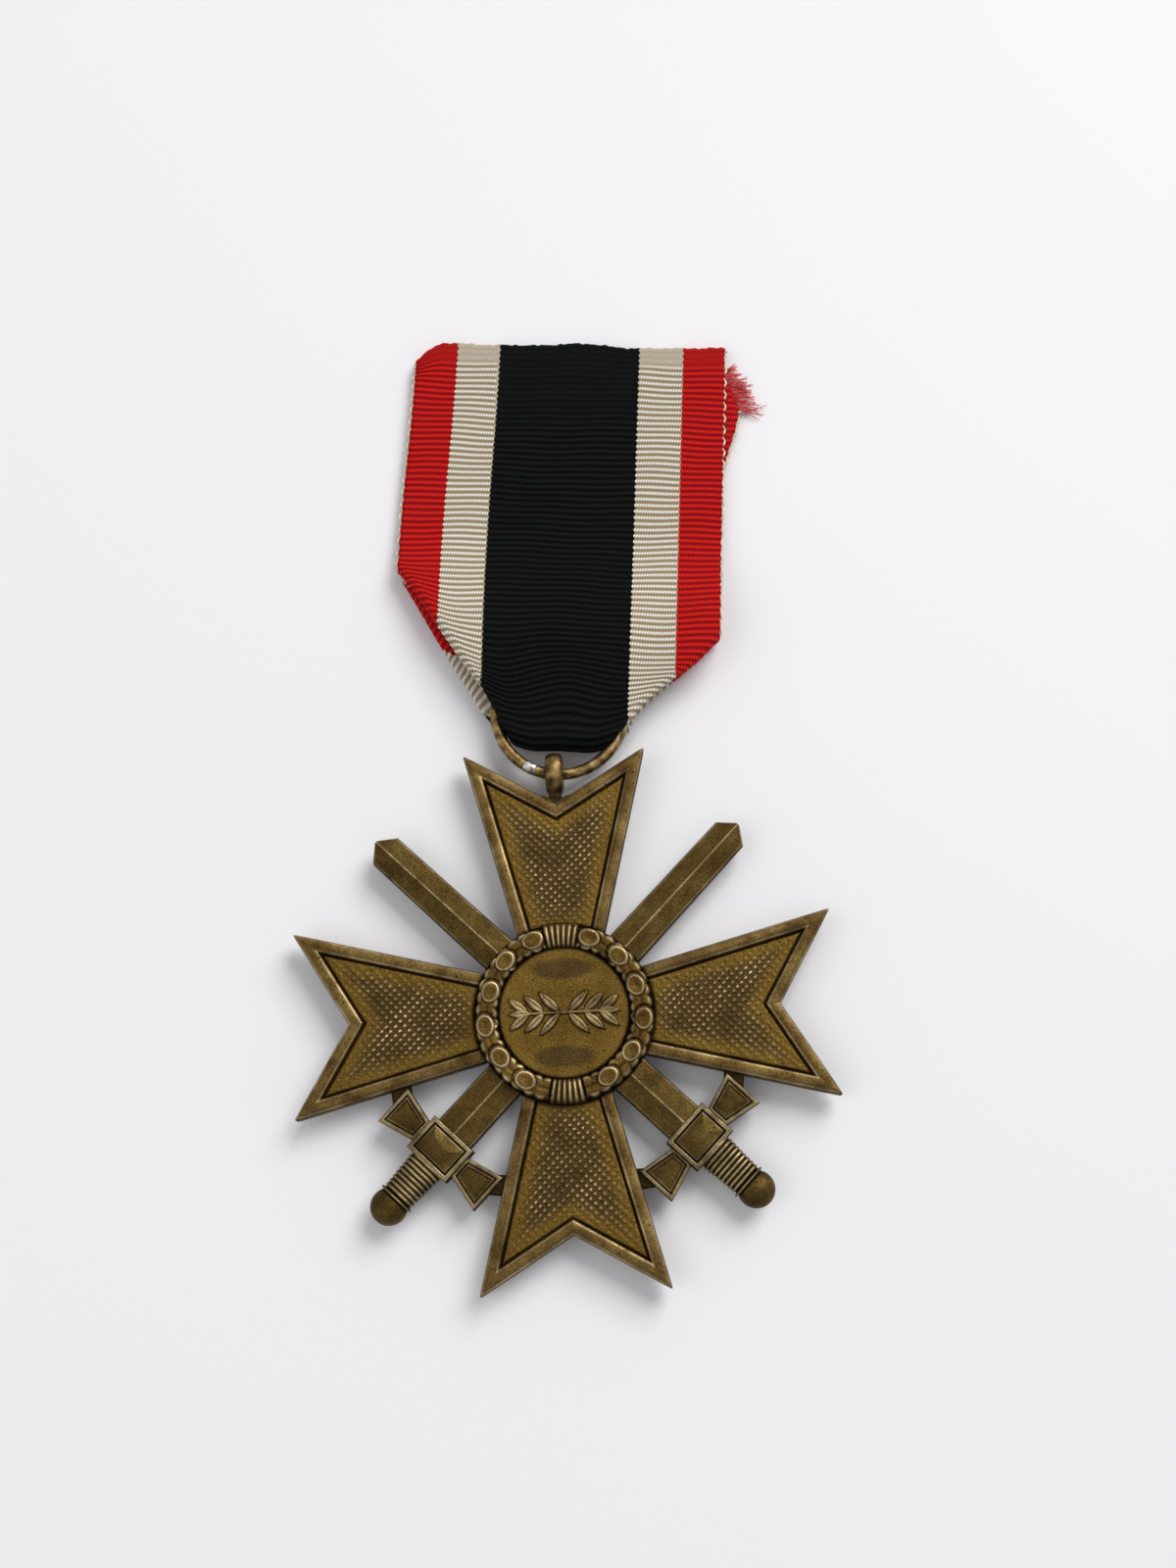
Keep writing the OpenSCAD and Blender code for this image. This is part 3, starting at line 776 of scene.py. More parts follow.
def gripPart():
    # rounded bar with rings cut round it, then a collar and a flattened ball
    s = swordShape
    around = 48
    top = -(s["guardAt"] + s["blockLength"] / 2) + 0.25
    pommelY = -(s["guardAt"] + s["blockLength"] / 2 + s["gripLength"]) - s["pommel"] / 2 + 0.5
    rows = []
    for k in range(127):
        t = k / 126
        y = top - t * (s["gripLength"] + 0.25)
        rib = abs(math.sin(t * s["ribs"] * math.pi)) ** 0.6
        half = (s["gripWidth"] + (s["gripEnd"] - s["gripWidth"]) * t) / 2 - 0.13 + 0.18 * rib
        # the last number paints shade in the grooves between the rings and a highlight on each ring's crest
        rows.append((y, half, half * 0.68, (1 - rib) ** 1.5 - 0.45 * max(rib * 5 - 4, 0)))
    collarY = rows[-1][0]
    # the collar is painted with shade at both ends and highlights along its middle
    collar = [(-0.02, 0.9), (0.2, -0.2), (0.24, -0.4), (0.18, -0.1), (-0.06, 0.9)]
    endHalf = s["gripEnd"] / 2
    for k, (grow, dark) in enumerate(collar):
        rows.append((collarY - 0.08 * (k + 1), endHalf + grow, endHalf * 0.72 + grow, dark))
    radius = s["pommel"] / 2
    neck = rows[-1][0]
    startAngle = math.acos(min(1, (neck - pommelY) / radius))
    for k in range(1, 22):
        a = startAngle + (math.pi - startAngle) * k / 21
        out = max(radius * math.sin(a), 0.01)
        rows.append((pommelY + radius * math.cos(a), out, out * 0.76, 0))
    points, hollowShade = [], []
    for y, half, thick, dark in rows:
        for m in range(around):
            a = 2 * math.pi * m / around
            c, d = math.cos(a), math.sin(a)
            power = 0.72 if y > collarY else 1.0
            across = half * math.copysign(abs(c) ** power, c)
            points.append([across, y, thick * math.copysign(abs(d) ** power, d)])
            hollowShade.append(dark)
    return points, capped(len(rows), around), hollowShade


def guardParts():
    s = swordShape
    w, l, y = s["blockWidth"] / 2, s["blockLength"] / 2, -s["guardAt"]
    block = [(-w, y - l), (w, y - l), (w, y + l), (-w, y + l)]
    # the third number paints shade on the side walls and in the sunk ring (above 0), and highlights on the
    # raised rings (below 0); the quillons' flare below does the same
    steps = [
        (0, 0, 0.8), (0, 0.98, 0.5), (0.1, 1.14, -0.6), (0.2, 1.16, -0.1), (0.36, 1.16, -0.5),
        (0.44, 1.03, 0.9), (0.52, 1.02, 0.9), (0.6, 1.14, -0.2), (0.72, 1.18, 0)]
    parts = [strikePlate(block, steps)]
    # a low hipped roof stands on each face of the block
    roof = insetOutline(block, 0.72)
    top = insetOutline(block, 1.35)
    for facing in (1, -1):
        points = [[p[0], p[1], facing * 1.18] for p in roof] + [[p[0], p[1], facing * 1.46] for p in top]
        points += [[-0.55, y, facing * 1.5], [0.55, y, facing * 1.5]]
        faces = [[k, (k + 1) % 4, 4 + (k + 1) % 4, 4 + k] for k in range(4)]
        faces += [[4, 5, 9, 8], [5, 6, 9], [6, 7, 8, 9], [7, 4, 8], [3, 2, 1, 0]]
        parts.append((points, faces))
    flare = [
        (0, 0, 0.8), (0, 0.66, 0.5), (0.1, 0.8, -0.6), (0.18, 0.82, -0.1), (0.28, 0.82, -0.45),
        (0.36, 0.72, 0.75), (0.44, 0.72, 0.7), (0.52, 0.79, -0.2), (0.6, 0.8, 0), (0.68, 0.72, 0.3),
        (0.74, 0.71, 0.05), (0.95, 0.77, 0)]
    inner, outer, end = s["quillonInner"] / 2, s["quillonOuter"] / 2, s["quillonSpan"] / 2
    for side in (1, -1):
        outline = [
            (side * (w - 0.1), y - inner), (side * end, y - outer), (side * end, y + outer),
            (side * (w - 0.1), y + inner)]
        # a thin web of metal joins the quillon's outer corner to the arm beside it
        web = [
            (side * (end - 0.8), y + outer - 0.4), (side * (end - 0.2), y - 0.2),
            (side * (end + 1.2), y + outer - 1), (side * (end + 0.6), y + outer + 0.9)]
        if side < 0:
            outline, web = outline[::-1], web[::-1]
        parts.append(strikePlate(outline, flare))
        # the web is painted with shade all over
        parts.append(strikePlate(web, [(0, 0, 0.8), (0, 0.36, 0.7), (0.12, 0.46, 0.6)]))
    return parts


def swordPiece(name, node, angle, parts, soften):
    points, faces, hollowShade = gatherParts(parts)
    mesh = meshFrom(name, points @ turnAbout(angle) + np.array([0, 0, midZ]), faces, attributes={
        "hollowShade": np.clip(hollowShade, 0, 1), "wearAndHighlight": np.clip(-hollowShade, 0, 1)})
    cleanMesh(mesh, 0.001)
    piece = newObject(name, mesh, bladeBronze, "cross")
    if soften:
        bevel = piece.modifiers.new("soften", "BEVEL")
        bevel.width = 0.045 * mm
        bevel.segments = 2
        bevel.limit_method = "ANGLE"
        bevel.angle_limit = math.radians(24)
    mesh.set_sharp_from_angle(angle=math.radians(24 if soften else 10))
    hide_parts(node)


def makeSword(name, node, angle):
    s = swordShape
    hubEdge = hubRadius - 0.4  # blades end inside the hub
    blade = [bladePart(hubEdge, s["reach"], True), bladePart(-s["guardAt"], -hubEdge, False)]
    swordPiece(name + "_blade", node, angle, blade, False)
    swordPiece(name + "_hilt", node, angle, guardParts() + [gripPart()], True)


makeSword("sword_left", "left_sword", math.radians(45))
makeSword("sword_right", "right_sword", math.radians(-45))
print("swords made")

# eyelet and ring

ringShape = {"wire": 1.05, "outer": 12.75, "jointAngle": 240, "jointArc": 12, "dents": 0.03}
notchY = armsHigh[1] - armShape["notchDepth"]
eyeletShape = {"half": 0.8, "clearance": 0.43, "round": 0.9, "solderSpread": 1.1, "solderSize": 0.42}


def tube(centre, radius, wireHalf, plane, along=220, around=28, arc=(0, 360), lump=None):
    # a bent wire; wireHalf gives its half-size across and outwards
    points = []
    closed = arc[1] - arc[0] >= 360
    angles = np.radians(np.linspace(arc[0], arc[1], along, endpoint=not closed))
    for a in angles:
        grow = 1 + (lump(a) if lump else 0)
        for b in circle(around):
            out = radius + wireHalf[1] * grow * math.cos(b)
            side = wireHalf[0] * grow * math.sin(b)
            c, d = out * math.cos(a), out * math.sin(a)
            offset = (c, d, side) if plane == "flat" else (side, c, d)
            points.append([centre[k] + offset[k] for k in range(3)])
    if not closed:
        return np.array(points), capped(along, around)
    last = (along - 1) * around
    join = [[last + k, last + (k + 1) % around, (k + 1) % around, k] for k in range(around)]
    return np.array(points), gridFaces(along, around, closed=True) + join


def makeRing():
    s = ringShape
    half = s["wire"] / 2
    radius = s["outer"] / 2 - half
    jointFrom, jointTo = s["jointAngle"] - s["jointArc"] / 2, s["jointAngle"] + s["jointArc"] / 2
    gap = math.radians(s["jointArc"] / 2)
    arc = (jointTo - 1, jointFrom + 361)  # the wire runs a degree into the joint at each end
    points, faces = tube(ringCentre, radius, (half, half), "flat", 260, 28, arc)
    points += wobble(points, 1.6, 3.1)[:, None] * s["dents"] * (points - ringCentre) / radius
    ring = newObject("ring", cleanMesh(meshFrom("ring", points, faces)), wireBrass, "ring")
    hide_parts("suspension_ring")

    def lump(a):
        return 0.10 * math.cos((a - math.radians(s["jointAngle"])) / gap * math.pi / 2) - 0.02

    points, faces = tube(ringCentre, radius, (half, half), "flat", 40, 28, (jointFrom, jointTo), lump)
    points += wobble(points, 3.5, 8.4)[:, None] * 0.05 * (points - ringCentre) / radius
    joint = newObject("ring_joint", cleanMesh(meshFrom("ring_joint", points, faces)), softSolder, "ring")
    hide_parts("ring_solder")


def makeEyelet():
    s = eyeletShape
    hole = ringShape["wire"] / 2 + s["clearance"]
    wall = (eyeletHigh[2] - eyeletLow[2]) / 2 - hole
    points, faces = tube(eyeletCentre, hole + wall / 2, (s["half"], wall / 2), "upright", 120, 32)
    # squarer section than a round wire, and a foot that runs into the notch
    offset = points[:, 0] - eyeletCentre[0]
    points[:, 0] = eyeletCentre[0] + s["half"] * np.sign(offset) * np.abs(offset / s["half"]) ** s["round"]
    foot = [(-0.12, 0.95, 0.72), (0.18, 0.74, 0.66), (0.5, 0.62, 0.6), (0.9, 0.58, 0.58), (1.35, 0.55, 0.55)]
    around = 40
    rows = []
    for up, wide, thick in foot:
        rows += [[wide * math.cos(a), notchY + up, midZ + thick * math.sin(a)] for a in circle(around)]
    # the foot is painted with shade all over
    footPart = (rows, capped(len(foot), around), [0.75] * len(rows))
    points, faces, hollowShade = gatherParts([(points, faces), footPart])
    mesh = cleanMesh(meshFrom("eyelet_loop", points, faces, attributes={"hollowShade": hollowShade}))
    eyelet = newObject("eyelet_loop", mesh, wireBrass, "cross")
    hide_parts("eyelet")


def makeEyeletSolder():
    # soft solder run out along the notch on each side of the foot
    s = eyeletShape
    slope = armShape["notchDepth"] / (armShape["tipWidth"] / 2)
    steps, around = 9, 20
    blobs = []
    for side in (1, -1):
        rows = []
        for t in np.linspace(0, 1, steps):
            x = side * (0.35 + s["solderSpread"] * t)
            y = notchY + 0.02 + abs(x) * slope
            size = s["solderSize"] * math.sqrt(max(1 - t * t, 0.0001))
            for a in circle(around):
                rows.append([x, y + size * 0.7 * math.cos(a), midZ + size * 1.5 * math.sin(a)])
        blobs.append((rows, capped(steps, around)))
    points, faces, _ = gatherParts(blobs)
    mesh = cleanMesh(meshFrom("eyelet_solder_run", points, faces), 0.001)
    solder = newObject("eyelet_solder_run", mesh, bronze, "cross")
    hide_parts("eyelet_solder")


makeRing()
makeEyelet()
makeEyeletSolder()
print("ring and eyelet made")

# ribbon: one strip, followed from its hidden end over the top, down the front,
# through the ring and up behind

ribbonShape = {
    "width": 30.0, "red": 4.1, "cream": 4.2, "thickness": 0.26, "ribPitch": 0.6, "ribHeight": 0.1,
    "hiddenEnd": 12.0, "backLength": 36.0, "topRadius": 0.42, "loopRadius": 1.2,
    "frontLevel": 1.02, "backLevel": 0.52, "underLevel": 0.18, "liftFrom": 6.4, "liftTo": 19.0,
    "columns": 84, "picotPitch": 1.2, "picotRadius": 0.11}
lean = Vector(ribbonMount["axis"])
ribbonUp = np.array([lean.x, lean.y])
ribbonAcross = np.array([lean.y, -lean.x])
ribbonTopMm = np.array(ribbonMount["pos_m"][:2]) / mm
topV = float((ribbonTopMm - ringCentre[:2]) @ ribbonUp)
ribbonOrigin = ribbonTopMm - topV * ribbonUp
foldV = float(eyeletHigh[1] + 0.45 - ringCentre[1])

# where the lower corners are folded in: half-width at the bottom fold, height of the corner,
# size of the bend; the back layer's creases lie a little outside the front's on the left
# and inside them on the right
leftCrease = {
    "low": 3.7, "corner": 14.2, "edge": 15.3, "lowRadius": 0.3, "highRadius": 0.55,
    "backLow": 0.95, "backEdge": 0.1}
rightCrease = {
    "low": 5.3, "corner": 7.4, "edge": 15.1, "lowRadius": 0.28, "highRadius": 0.34,
    "backLow": -1.2, "backEdge": -0.5}


def ribbonPath():
    # rows of (v, z, inward normal v, inward normal z, length, which leg) along the strip
    s = ribbonShape
    rows = []
    step = s["ribPitch"] / 5
    length = 0.0
    topCentre = topV - s["topRadius"]
    v = topCentre - s["hiddenEnd"]
    while v < topCentre:
        rows.append((v, s["underLevel"], 0, 1, length, "under"))
        v += step * 2
        length += step * 2
    middle = (s["underLevel"] + s["frontLevel"]) / 2
    radius = (s["frontLevel"] - s["underLevel"]) / 2
    for a in np.linspace(-90, 90, 17)[1:-1]:
        c, d = math.cos(math.radians(a)), math.sin(math.radians(a))
        travelled = length + radius * math.radians(a + 90)
        rows.append((topCentre + radius * c, middle + radius * d, -c, -d, travelled, "top"))
    length += math.pi * radius
    v = topCentre
    loop = s["loopRadius"]
    bottom = foldV + loop
    frontTop = midZ + loop
    while v > bottom:
        rise = 1 - float(smoothStep(s["liftFrom"], s["liftTo"], v))
        rows.append((v, s["frontLevel"] + (frontTop - s["frontLevel"]) * rise, 0, -1, length, "front"))
        v -= step
        length += step
    for a in np.linspace(90, 270, 41)[1:-1]:
        c, d = math.cos(math.radians(a)), math.sin(math.radians(a))
        travelled = length + loop * math.radians(a - 90)
        rows.append((bottom + loop * c, midZ + loop * d, -c, -d, travelled, "loop"))
    length += math.pi * loop
    v = bottom
    backLow = midZ - loop
    while v < bottom + s["backLength"]:
        rise = 1 - float(smoothStep(s["liftFrom"], s["liftTo"], v))
        rows.append((v, s["backLevel"] + (backLow - s["backLevel"]) * rise, 0, 1, length, "back"))
        v += step * 2
        length += step * 2
    return rows, length


def creaseFold(u, v, crease, sign, flat, back):
    # bends what lies outside a slanting crease round it and back under
    # returns u, v, sink and the distance past the crease
    low = crease["low"] + crease["backLow"] * back
    edge = crease["edge"] + crease["backEdge"] * back
    slope = (edge - low) / (crease["corner"] - foldV)
    cosine = 1 / np.hypot(1, slope)
    sine = slope * cosine
    widening = (crease["highRadius"] - crease["lowRadius"]) * smoothStep(foldV, crease["corner"], v)
    radius = crease["lowRadius"] + widening
    q = (sign * u - low - slope * np.maximum(v - foldV, 0)) * cosine + radius
    turned = np.clip(q / radius, 0, math.pi)
    offset = np.where(q > math.pi * radius, -(q - math.pi * radius), radius * np.sin(turned)) - q
    offset = np.where(q > 0, offset, 0)
    sink = np.where(q > 0, radius * (1 - np.cos(turned)), 0)
    return u + sign * offset * cosine, v - offset * sine * flat, sink, q


def frontShift(u, v):
    # small shape of the front: bowed left edge, rounded top corner, ribs that climb over the ring,
    # two low lobes
    near = 1 - smoothStep(foldV, foldV + 9, v)
    bow = -0.55 * smoothStep(6, -15, u) * np.exp(-((v - 17) / 11) ** 2)
    corner = np.clip((-12.0 - u) / 3.0, 0, 1) ** 1.6 * smoothStep(topV - 4.5, topV, v) * -2.1
    climb = 0.95 * np.exp(-((u - 0.8) / 3.0) ** 2) * np.exp(-((v - 1.2) / 4.0) ** 2)
    climb = climb - 0.45 * np.exp(-((u + 4.4) / 1.8) ** 2) * np.exp(-((v - 2.5) / 4.0) ** 2)
    lobes = -0.20 * np.exp(-((u + 1.9) / 1.5) ** 2) - 0.30 * np.exp(-((u - 4.0) / 1.8) ** 2)
    lobes = lobes * (1 - smoothStep(foldV + 0.6, foldV + 4.5, v))
    bottom = 0.030 * (u - 0.9) ** 2 * near
    sway = 0.10 * np.sin(u * 0.32 + v * 0.21) + 0.05 * np.sin(u * 0.9 - v * 0.5)
    ragged = 0.10 * np.sin(u * 0.55 + 1.0) + 0.07 * np.sin(u * 3.1) * np.sin(u * 1.27 + 0.6)
    ragged = ragged + 0.05 * np.sin(u * 7.3 + 2.0)
    top = ragged * smoothStep(topV - 3, topV, v)
    return bow, corner + climb * smoothStep(foldV + 0.4, foldV + 3, v) + lobes + bottom + sway + top


def ribbonSurface():
    s = ribbonShape
    rows, length = ribbonPath()
    half = s["width"] / 2
    flatU = np.linspace(-half, half, s["columns"])
    v, z, nv, nz, along = (np.array([row[k] for row in rows])[:, None] for k in range(5))
    leg = [row[5] for row in rows]
    isBack = np.array([name == "back" for name in leg])[:, None]
    isUnder = np.array([name == "under" for name in leg])[:, None]
    inLoop = np.array([name == "loop" for name in leg])[:, None]
    isFront = ~isBack & ~isUnder & ~inLoop
    u = np.repeat(flatU[None, :], len(rows), axis=0)
    v = np.repeat(v, s["columns"], axis=1)
    along = np.repeat(along, s["columns"], axis=1)
    flat = smoothStep(foldV + 0.6, foldV + 5.0, v)
    atEdge = np.abs(np.abs(u) - half) < 0.01
    edgeWave = 0.04 * np.sin(along / s["ribPitch"] * math.pi) * np.sign(u) * atEdge
    narrow = np.where(u < -6.7, -6.7 + (u + 6.7) * 0.965, u)
    back = np.where(isBack, smoothStep(foldV + 1.0, foldV + 3.5, v), 0)
    u2, v2, sinkL, pastL = creaseFold(narrow, v, leftCrease, -1, flat, back)
    u3, v3, sinkR, _ = creaseFold(u2, v2, rightCrease, 1, flat, back)
    pull = 0.75 * np.clip(1 + pastL / 3.2, 0, 1) ** 2 * smoothStep(foldV + 1, foldV + 5, v)
    pull = pull * (1 - smoothStep(leftCrease["corner"] - 4, leftCrease["corner"] + 2, v)) * isFront
    u3 = np.where(isUnder, narrow, u3) + edgeWave
    v3 = np.where(isUnder, v, v3 + pull)
    sink = np.where(isUnder, 0, sinkL + sinkR) * np.where(isBack, 0.62, 1)
    bow, lift = frontShift(u3, v3)
    share = np.where(isBack, 0.35, 1.0)
    u4 = u3 + bow * share
    v4 = v3 + lift * share
    # the back leg leans out to the right near its cut end
    out = np.where(isBack, 1.5 * smoothStep(23.5, 31.5, v4) * smoothStep(-20, 12, u4), 0)
    u4 = u4 + out
    cut = np.minimum(30.9 + 2.9 * (half - flatU), topV - 1.2)[None, :]
    v4 = np.where(isBack & (v4 > cut), cut, v4)
    bulge = 0.30 * np.exp(-((u4 - 1) / 4.5) ** 2) * np.exp(-((v4 - 3.0) / 4.0) ** 2) * ~isBack * (nz <= 0)
    ripple = 0.10 * np.sin(u4 * 0.42 + 0.8) * np.exp(-((v4 - 12) / 8) ** 2) * ~isBack * ~isUnder
    side = 0.35 * smoothStep(9, 15, u4) * np.exp(-((v4 - 8) / 5) ** 2) * ~isBack * ~isUnder
    centre = np.stack([u4 + 0 * v4, v4 + nv * sink, z + nz * sink + bulge + ripple + side], axis=-1)
    return centre, u, along, rows, length


def makeRibbon():
    s = ribbonShape
    centre, flatU, along, rows, length = ribbonSurface()
    normal = np.cross(np.gradient(centre, axis=1), np.gradient(centre, axis=0))
    normal /= np.maximum(np.linalg.norm(normal, axis=-1), 1e-9)[..., None]
    rib = np.abs(np.sin(along / s["ribPitch"] * math.pi)) ** 0.75
    isFront = np.array([row[5] in ("front", "top") for row in rows])[:, None]
    flattened = smoothStep(topV - 2.6, topV - 1.5, centre[..., 1]) * 0.9
    black = smoothStep(topV - 10, topV - 4, centre[..., 1]) * (np.abs(flatU) < 6.7) * 0.8
    flattened = np.maximum(flattened, black) * isFront
    lift = rib * s["ribHeight"] * (1 - flattened)
    swell = (s["thickness"] / 2 - s["ribHeight"] * 0.4 + lift)[..., None]
    upper = centre + normal * swell
    lower = centre - normal * swell
    rowCount, columns = centre.shape[:2]
    count = rowCount * columns
    points = np.concatenate([upper.reshape(-1, 3), lower.reshape(-1, 3)])
    faces = gridFaces(rowCount, columns) + [f[::-1] for f in gridFaces(rowCount, columns, count)]
    border = [k for k in range(columns)] + [r * columns + columns - 1 for r in range(1, rowCount)]
    border += [(rowCount - 1) * columns + k for k in range(columns - 2, -1, -1)]
    border += [r * columns for r in range(rowCount - 2, 0, -1)]
    for k in range(len(border)):
        a, b = border[k], border[(k + 1) % len(border)]
        faces.append([b, a, a + count, b + count])
    flat = points[:, :2] @ np.array([ribbonAcross, ribbonUp]) + ribbonOrigin
    placed = np.concatenate([flat, np.maximum(points[:, 2:], 0.01)], axis=1)
    masks = {"across": flatU, "along": along, "flattened": flattened}
    masks = {key: np.tile(values.ravel(), 2) for key, values in masks.items()}
    mesh = meshFrom("ribbon_strip", placed, faces, attributes=masks)
    piece = newObject("ribbon_strip", mesh, grosgrain, "ribbon")
    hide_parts("ribbon")
    return piece, placed.reshape(2, rowCount, columns, 3), rows, length


def threadTube(points, radius, around):
    # a fine thread along a few points, closed at both ends
    points = np.array(points)
    tangent = np.gradient(points, axis=0)
    tangent /= np.maximum(np.linalg.norm(tangent, axis=1), 1e-9)[:, None]
    helper = np.array([0.0, 0.0, 1.0])
    if abs(tangent[0] @ helper) > 0.9:
        helper = np.array([1.0, 0.0, 0.0])
    side = np.cross(tangent, helper)
    side /= np.maximum(np.linalg.norm(side, axis=1), 1e-9)[:, None]
    over = np.cross(tangent, side)
    out = []
    for k, point in enumerate(points):
        out += [point + (math.cos(a) * side[k] + math.sin(a) * over[k]) * radius for a in circle(around)]
    return out, capped(len(points), around)


def makePicots(surface, rows):
    # weft loops that show along both woven edges
    s = ribbonShape
    parts = []
    lastRow = len(rows) - 1
    span = s["picotPitch"] * 0.84
    done = -10.0
    for r, row in enumerate(rows):
        if row[4] - done < s["picotPitch"] or row[5] == "under" or r + 9 > lastRow or r < 3:
            continue
        done = row[4]
        ahead = next((k for k in range(r, lastRow) if rows[k][4] - row[4] > span), lastRow)
        for column, inner, reach in ((0, 2, 0.34), (-1, -3, 0.26)):
            edge = (surface[0, r, column] + surface[1, r, column]) / 2
            end = (surface[0, ahead, column] + surface[1, ahead, column]) / 2
            inside = (surface[0, r, inner] + surface[1, r, inner]) / 2
            outward = edge - inside
            outward /= max(np.linalg.norm(outward), 1e-9)
            top = surface[0, r, column] - edge
            top /= max(np.linalg.norm(top), 1e-9)
            route = []
            for t in np.linspace(0, 1, 9):
                out = math.sin(t * math.pi) * reach - 0.10
                rise = math.sin(t * math.pi * 2) * 0.05 + 0.12 * math.sin(t * math.pi)
                route.append(edge + (end - edge) * (0.04 + 0.92 * t) + outward * out + top * rise)
            parts.append(threadTube(route, s["picotRadius"], 7))
    points, faces, _ = gatherParts(parts)
    points[:, 2] = np.maximum(points[:, 2], 0.01)
    piece = newObject("ribbon_picots", meshFrom("ribbon_picots", points, faces), picotThread, "ribbon")
    return piece


# the two ends of the frayed line, across and up the ribbon
frayShape = {"corner": (16.35, 30.9), "inner": (14.9, 35.2), "threads": 120, "seed": 7}


def makeFray():
    # loose warp threads at the cut end that shows past the right edge
    s = frayShape
    rng = np.random.default_rng(s["seed"])
    parts = []
    corner, inner = (ribbonOrigin + u * ribbonAcross + v * ribbonUp for u, v in (s["corner"], s["inner"]))
    for _ in range(s["threads"]):
        t = rng.random()
        start = corner + (inner - corner) * t
        angle = math.radians(-6 + 44 * t + rng.normal(0, 9))
        direction = math.cos(angle) * ribbonAcross + math.sin(angle) * ribbonUp
        direction = direction * (0.9 if t > 0.75 else 1.0)
        length = rng.uniform(1.1, 3.0) * (1.0 - 0.45 * t)
        bend = rng.normal(0, 0.35)
        level = ribbonShape["backLevel"] + rng.uniform(-0.1, 0.12)
        drop = rng.uniform(0.0, 0.3)
        side = np.array([-direction[1], direction[0]])
        route = []
        for m in np.linspace(-0.25, 1, 7):
            place = start + direction * length * m + side * bend * max(m, 0) ** 2
            route.append([place[0], place[1], max(level - drop * max(m, 0), 0.06)])
        parts.append(threadTube(route, rng.uniform(0.026, 0.045), 5))
    points, faces, _ = gatherParts(parts)
    piece = newObject("ribbon_fray", meshFrom("ribbon_fray", points, faces), redThread, "ribbon")
    return piece


def makeWeave():
    # Stripe is the place across from 0 to 1, Crest the lit thread tops, Height their relief,
    # Fuzz the loose nap
    group, inside, outside = newGroup("ribWeave", [
        ("Rib Pitch", "NodeSocketFloat", 0.6), ("Thread Pitch", "NodeSocketFloat", 0.25),
        ("Jag", "NodeSocketFloat", 0.3)],
        [("Stripe", "NodeSocketFloat"), ("Height", "NodeSocketFloat"), ("Crest", "NodeSocketFloat"),
        ("Fuzz", "NodeSocketFloat")])
    across, along, flattened = (addNode(group, "ShaderNodeAttribute", {"attribute_name": key}).outputs["Fac"]
        for key in ("across", "along", "flattened"))
    turns = mathNode(group, "DIVIDE", along, inside.outputs["Rib Pitch"])
    saw = mathNode(group, "PINGPONG", turns, 0.5)
    jag = mathNode(group, "MULTIPLY", mathNode(group, "SUBTRACT", saw, 0.25), inside.outputs["Jag"])
    coords = addNode(group, "ShaderNodeCombineXYZ")
    group.links.new(across, coords.inputs[0])
    group.links.new(along, coords.inputs[1])
    fuzz = addNode(group, "ShaderNodeTexNoise", Scale=5.5, Detail=4.0, Roughness=0.7)
    group.links.new(coords.outputs[0], fuzz.inputs["Vector"])
    wander = mathNode(group, "MULTIPLY", mathNode(group, "SUBTRACT", fuzz.outputs["Fac"], 0.5), 0.15)
    place = mathNode(group, "ADD", mathNode(group, "ADD", across, jag), wander)
    width = ribbonShape["width"]
    stripe = mathNode(group, "DIVIDE", mathNode(group, "ADD", place, width / 2), width)
    group.links.new(stripe, outside.inputs["Stripe"])
    # threads lie a little slantwise and shift by half from rib to rib
    slant = mathNode(group, "ADD", across, mathNode(group, "MULTIPLY", along, 0.3))
    rank = mathNode(group, "MULTIPLY", mathNode(group, "FLOOR", turns), 0.5)
    thread = mathNode(group, "ADD", mathNode(group, "DIVIDE", slant, inside.outputs["Thread Pitch"]), rank)
    wave = mathNode(group, "ABSOLUTE", mathNode(group, "SINE", mathNode(group, "MULTIPLY", thread, math.pi)))
    crest = mathNode(group, "ABSOLUTE", mathNode(group, "SINE", mathNode(group, "MULTIPLY", turns, math.pi)))
    swell = mathNode(group, "POWER", wave, 0.7)
    height = mathNode(group, "MULTIPLY", swell, mathNode(group, "ADD", crest, 0.25))
    rough = mathNode(group, "MULTIPLY", fuzz.outputs["Fac"], 0.35)
    group.links.new(mathNode(group, "ADD", height, rough), outside.inputs["Height"])
    ridge = mathNode(group, "POWER", crest, 3.0)
    spot = mathNode(group, "MULTIPLY", ridge, mathNode(group, "ADD", wave, 0.2))
    spot = mathNode(group, "MULTIPLY", spot, mathNode(group, "SUBTRACT", 1.0, flattened), clamp=True)
    group.links.new(spot, outside.inputs["Crest"])
    group.links.new(fuzz.outputs["Fac"], outside.inputs["Fuzz"])
    return group


ribWeave = makeWeave()
# each stripe colour comes twice: the plain name is its lit colour, a painted highlight for the rib crests,
# and the Shade name is painted shade for the grooves between ribs
ribbonLook = {
    "red": (0.800, 0.020, 0.012), "redShade": (0.270, 0.003, 0.006),
    "cream": (0.980, 0.940, 0.845), "creamShade": (0.310, 0.232, 0.128),
    "black": (0.010, 0.011, 0.011), "blackShade": (0.0012, 0.0012, 0.0014),
    "fleck": (0.5, 0.46, 0.4), "fleckFrom": 0.66, "pressedSheen": 0.28,
    "roughness": 0.6, "specular": 0.06, "bump": 0.9}


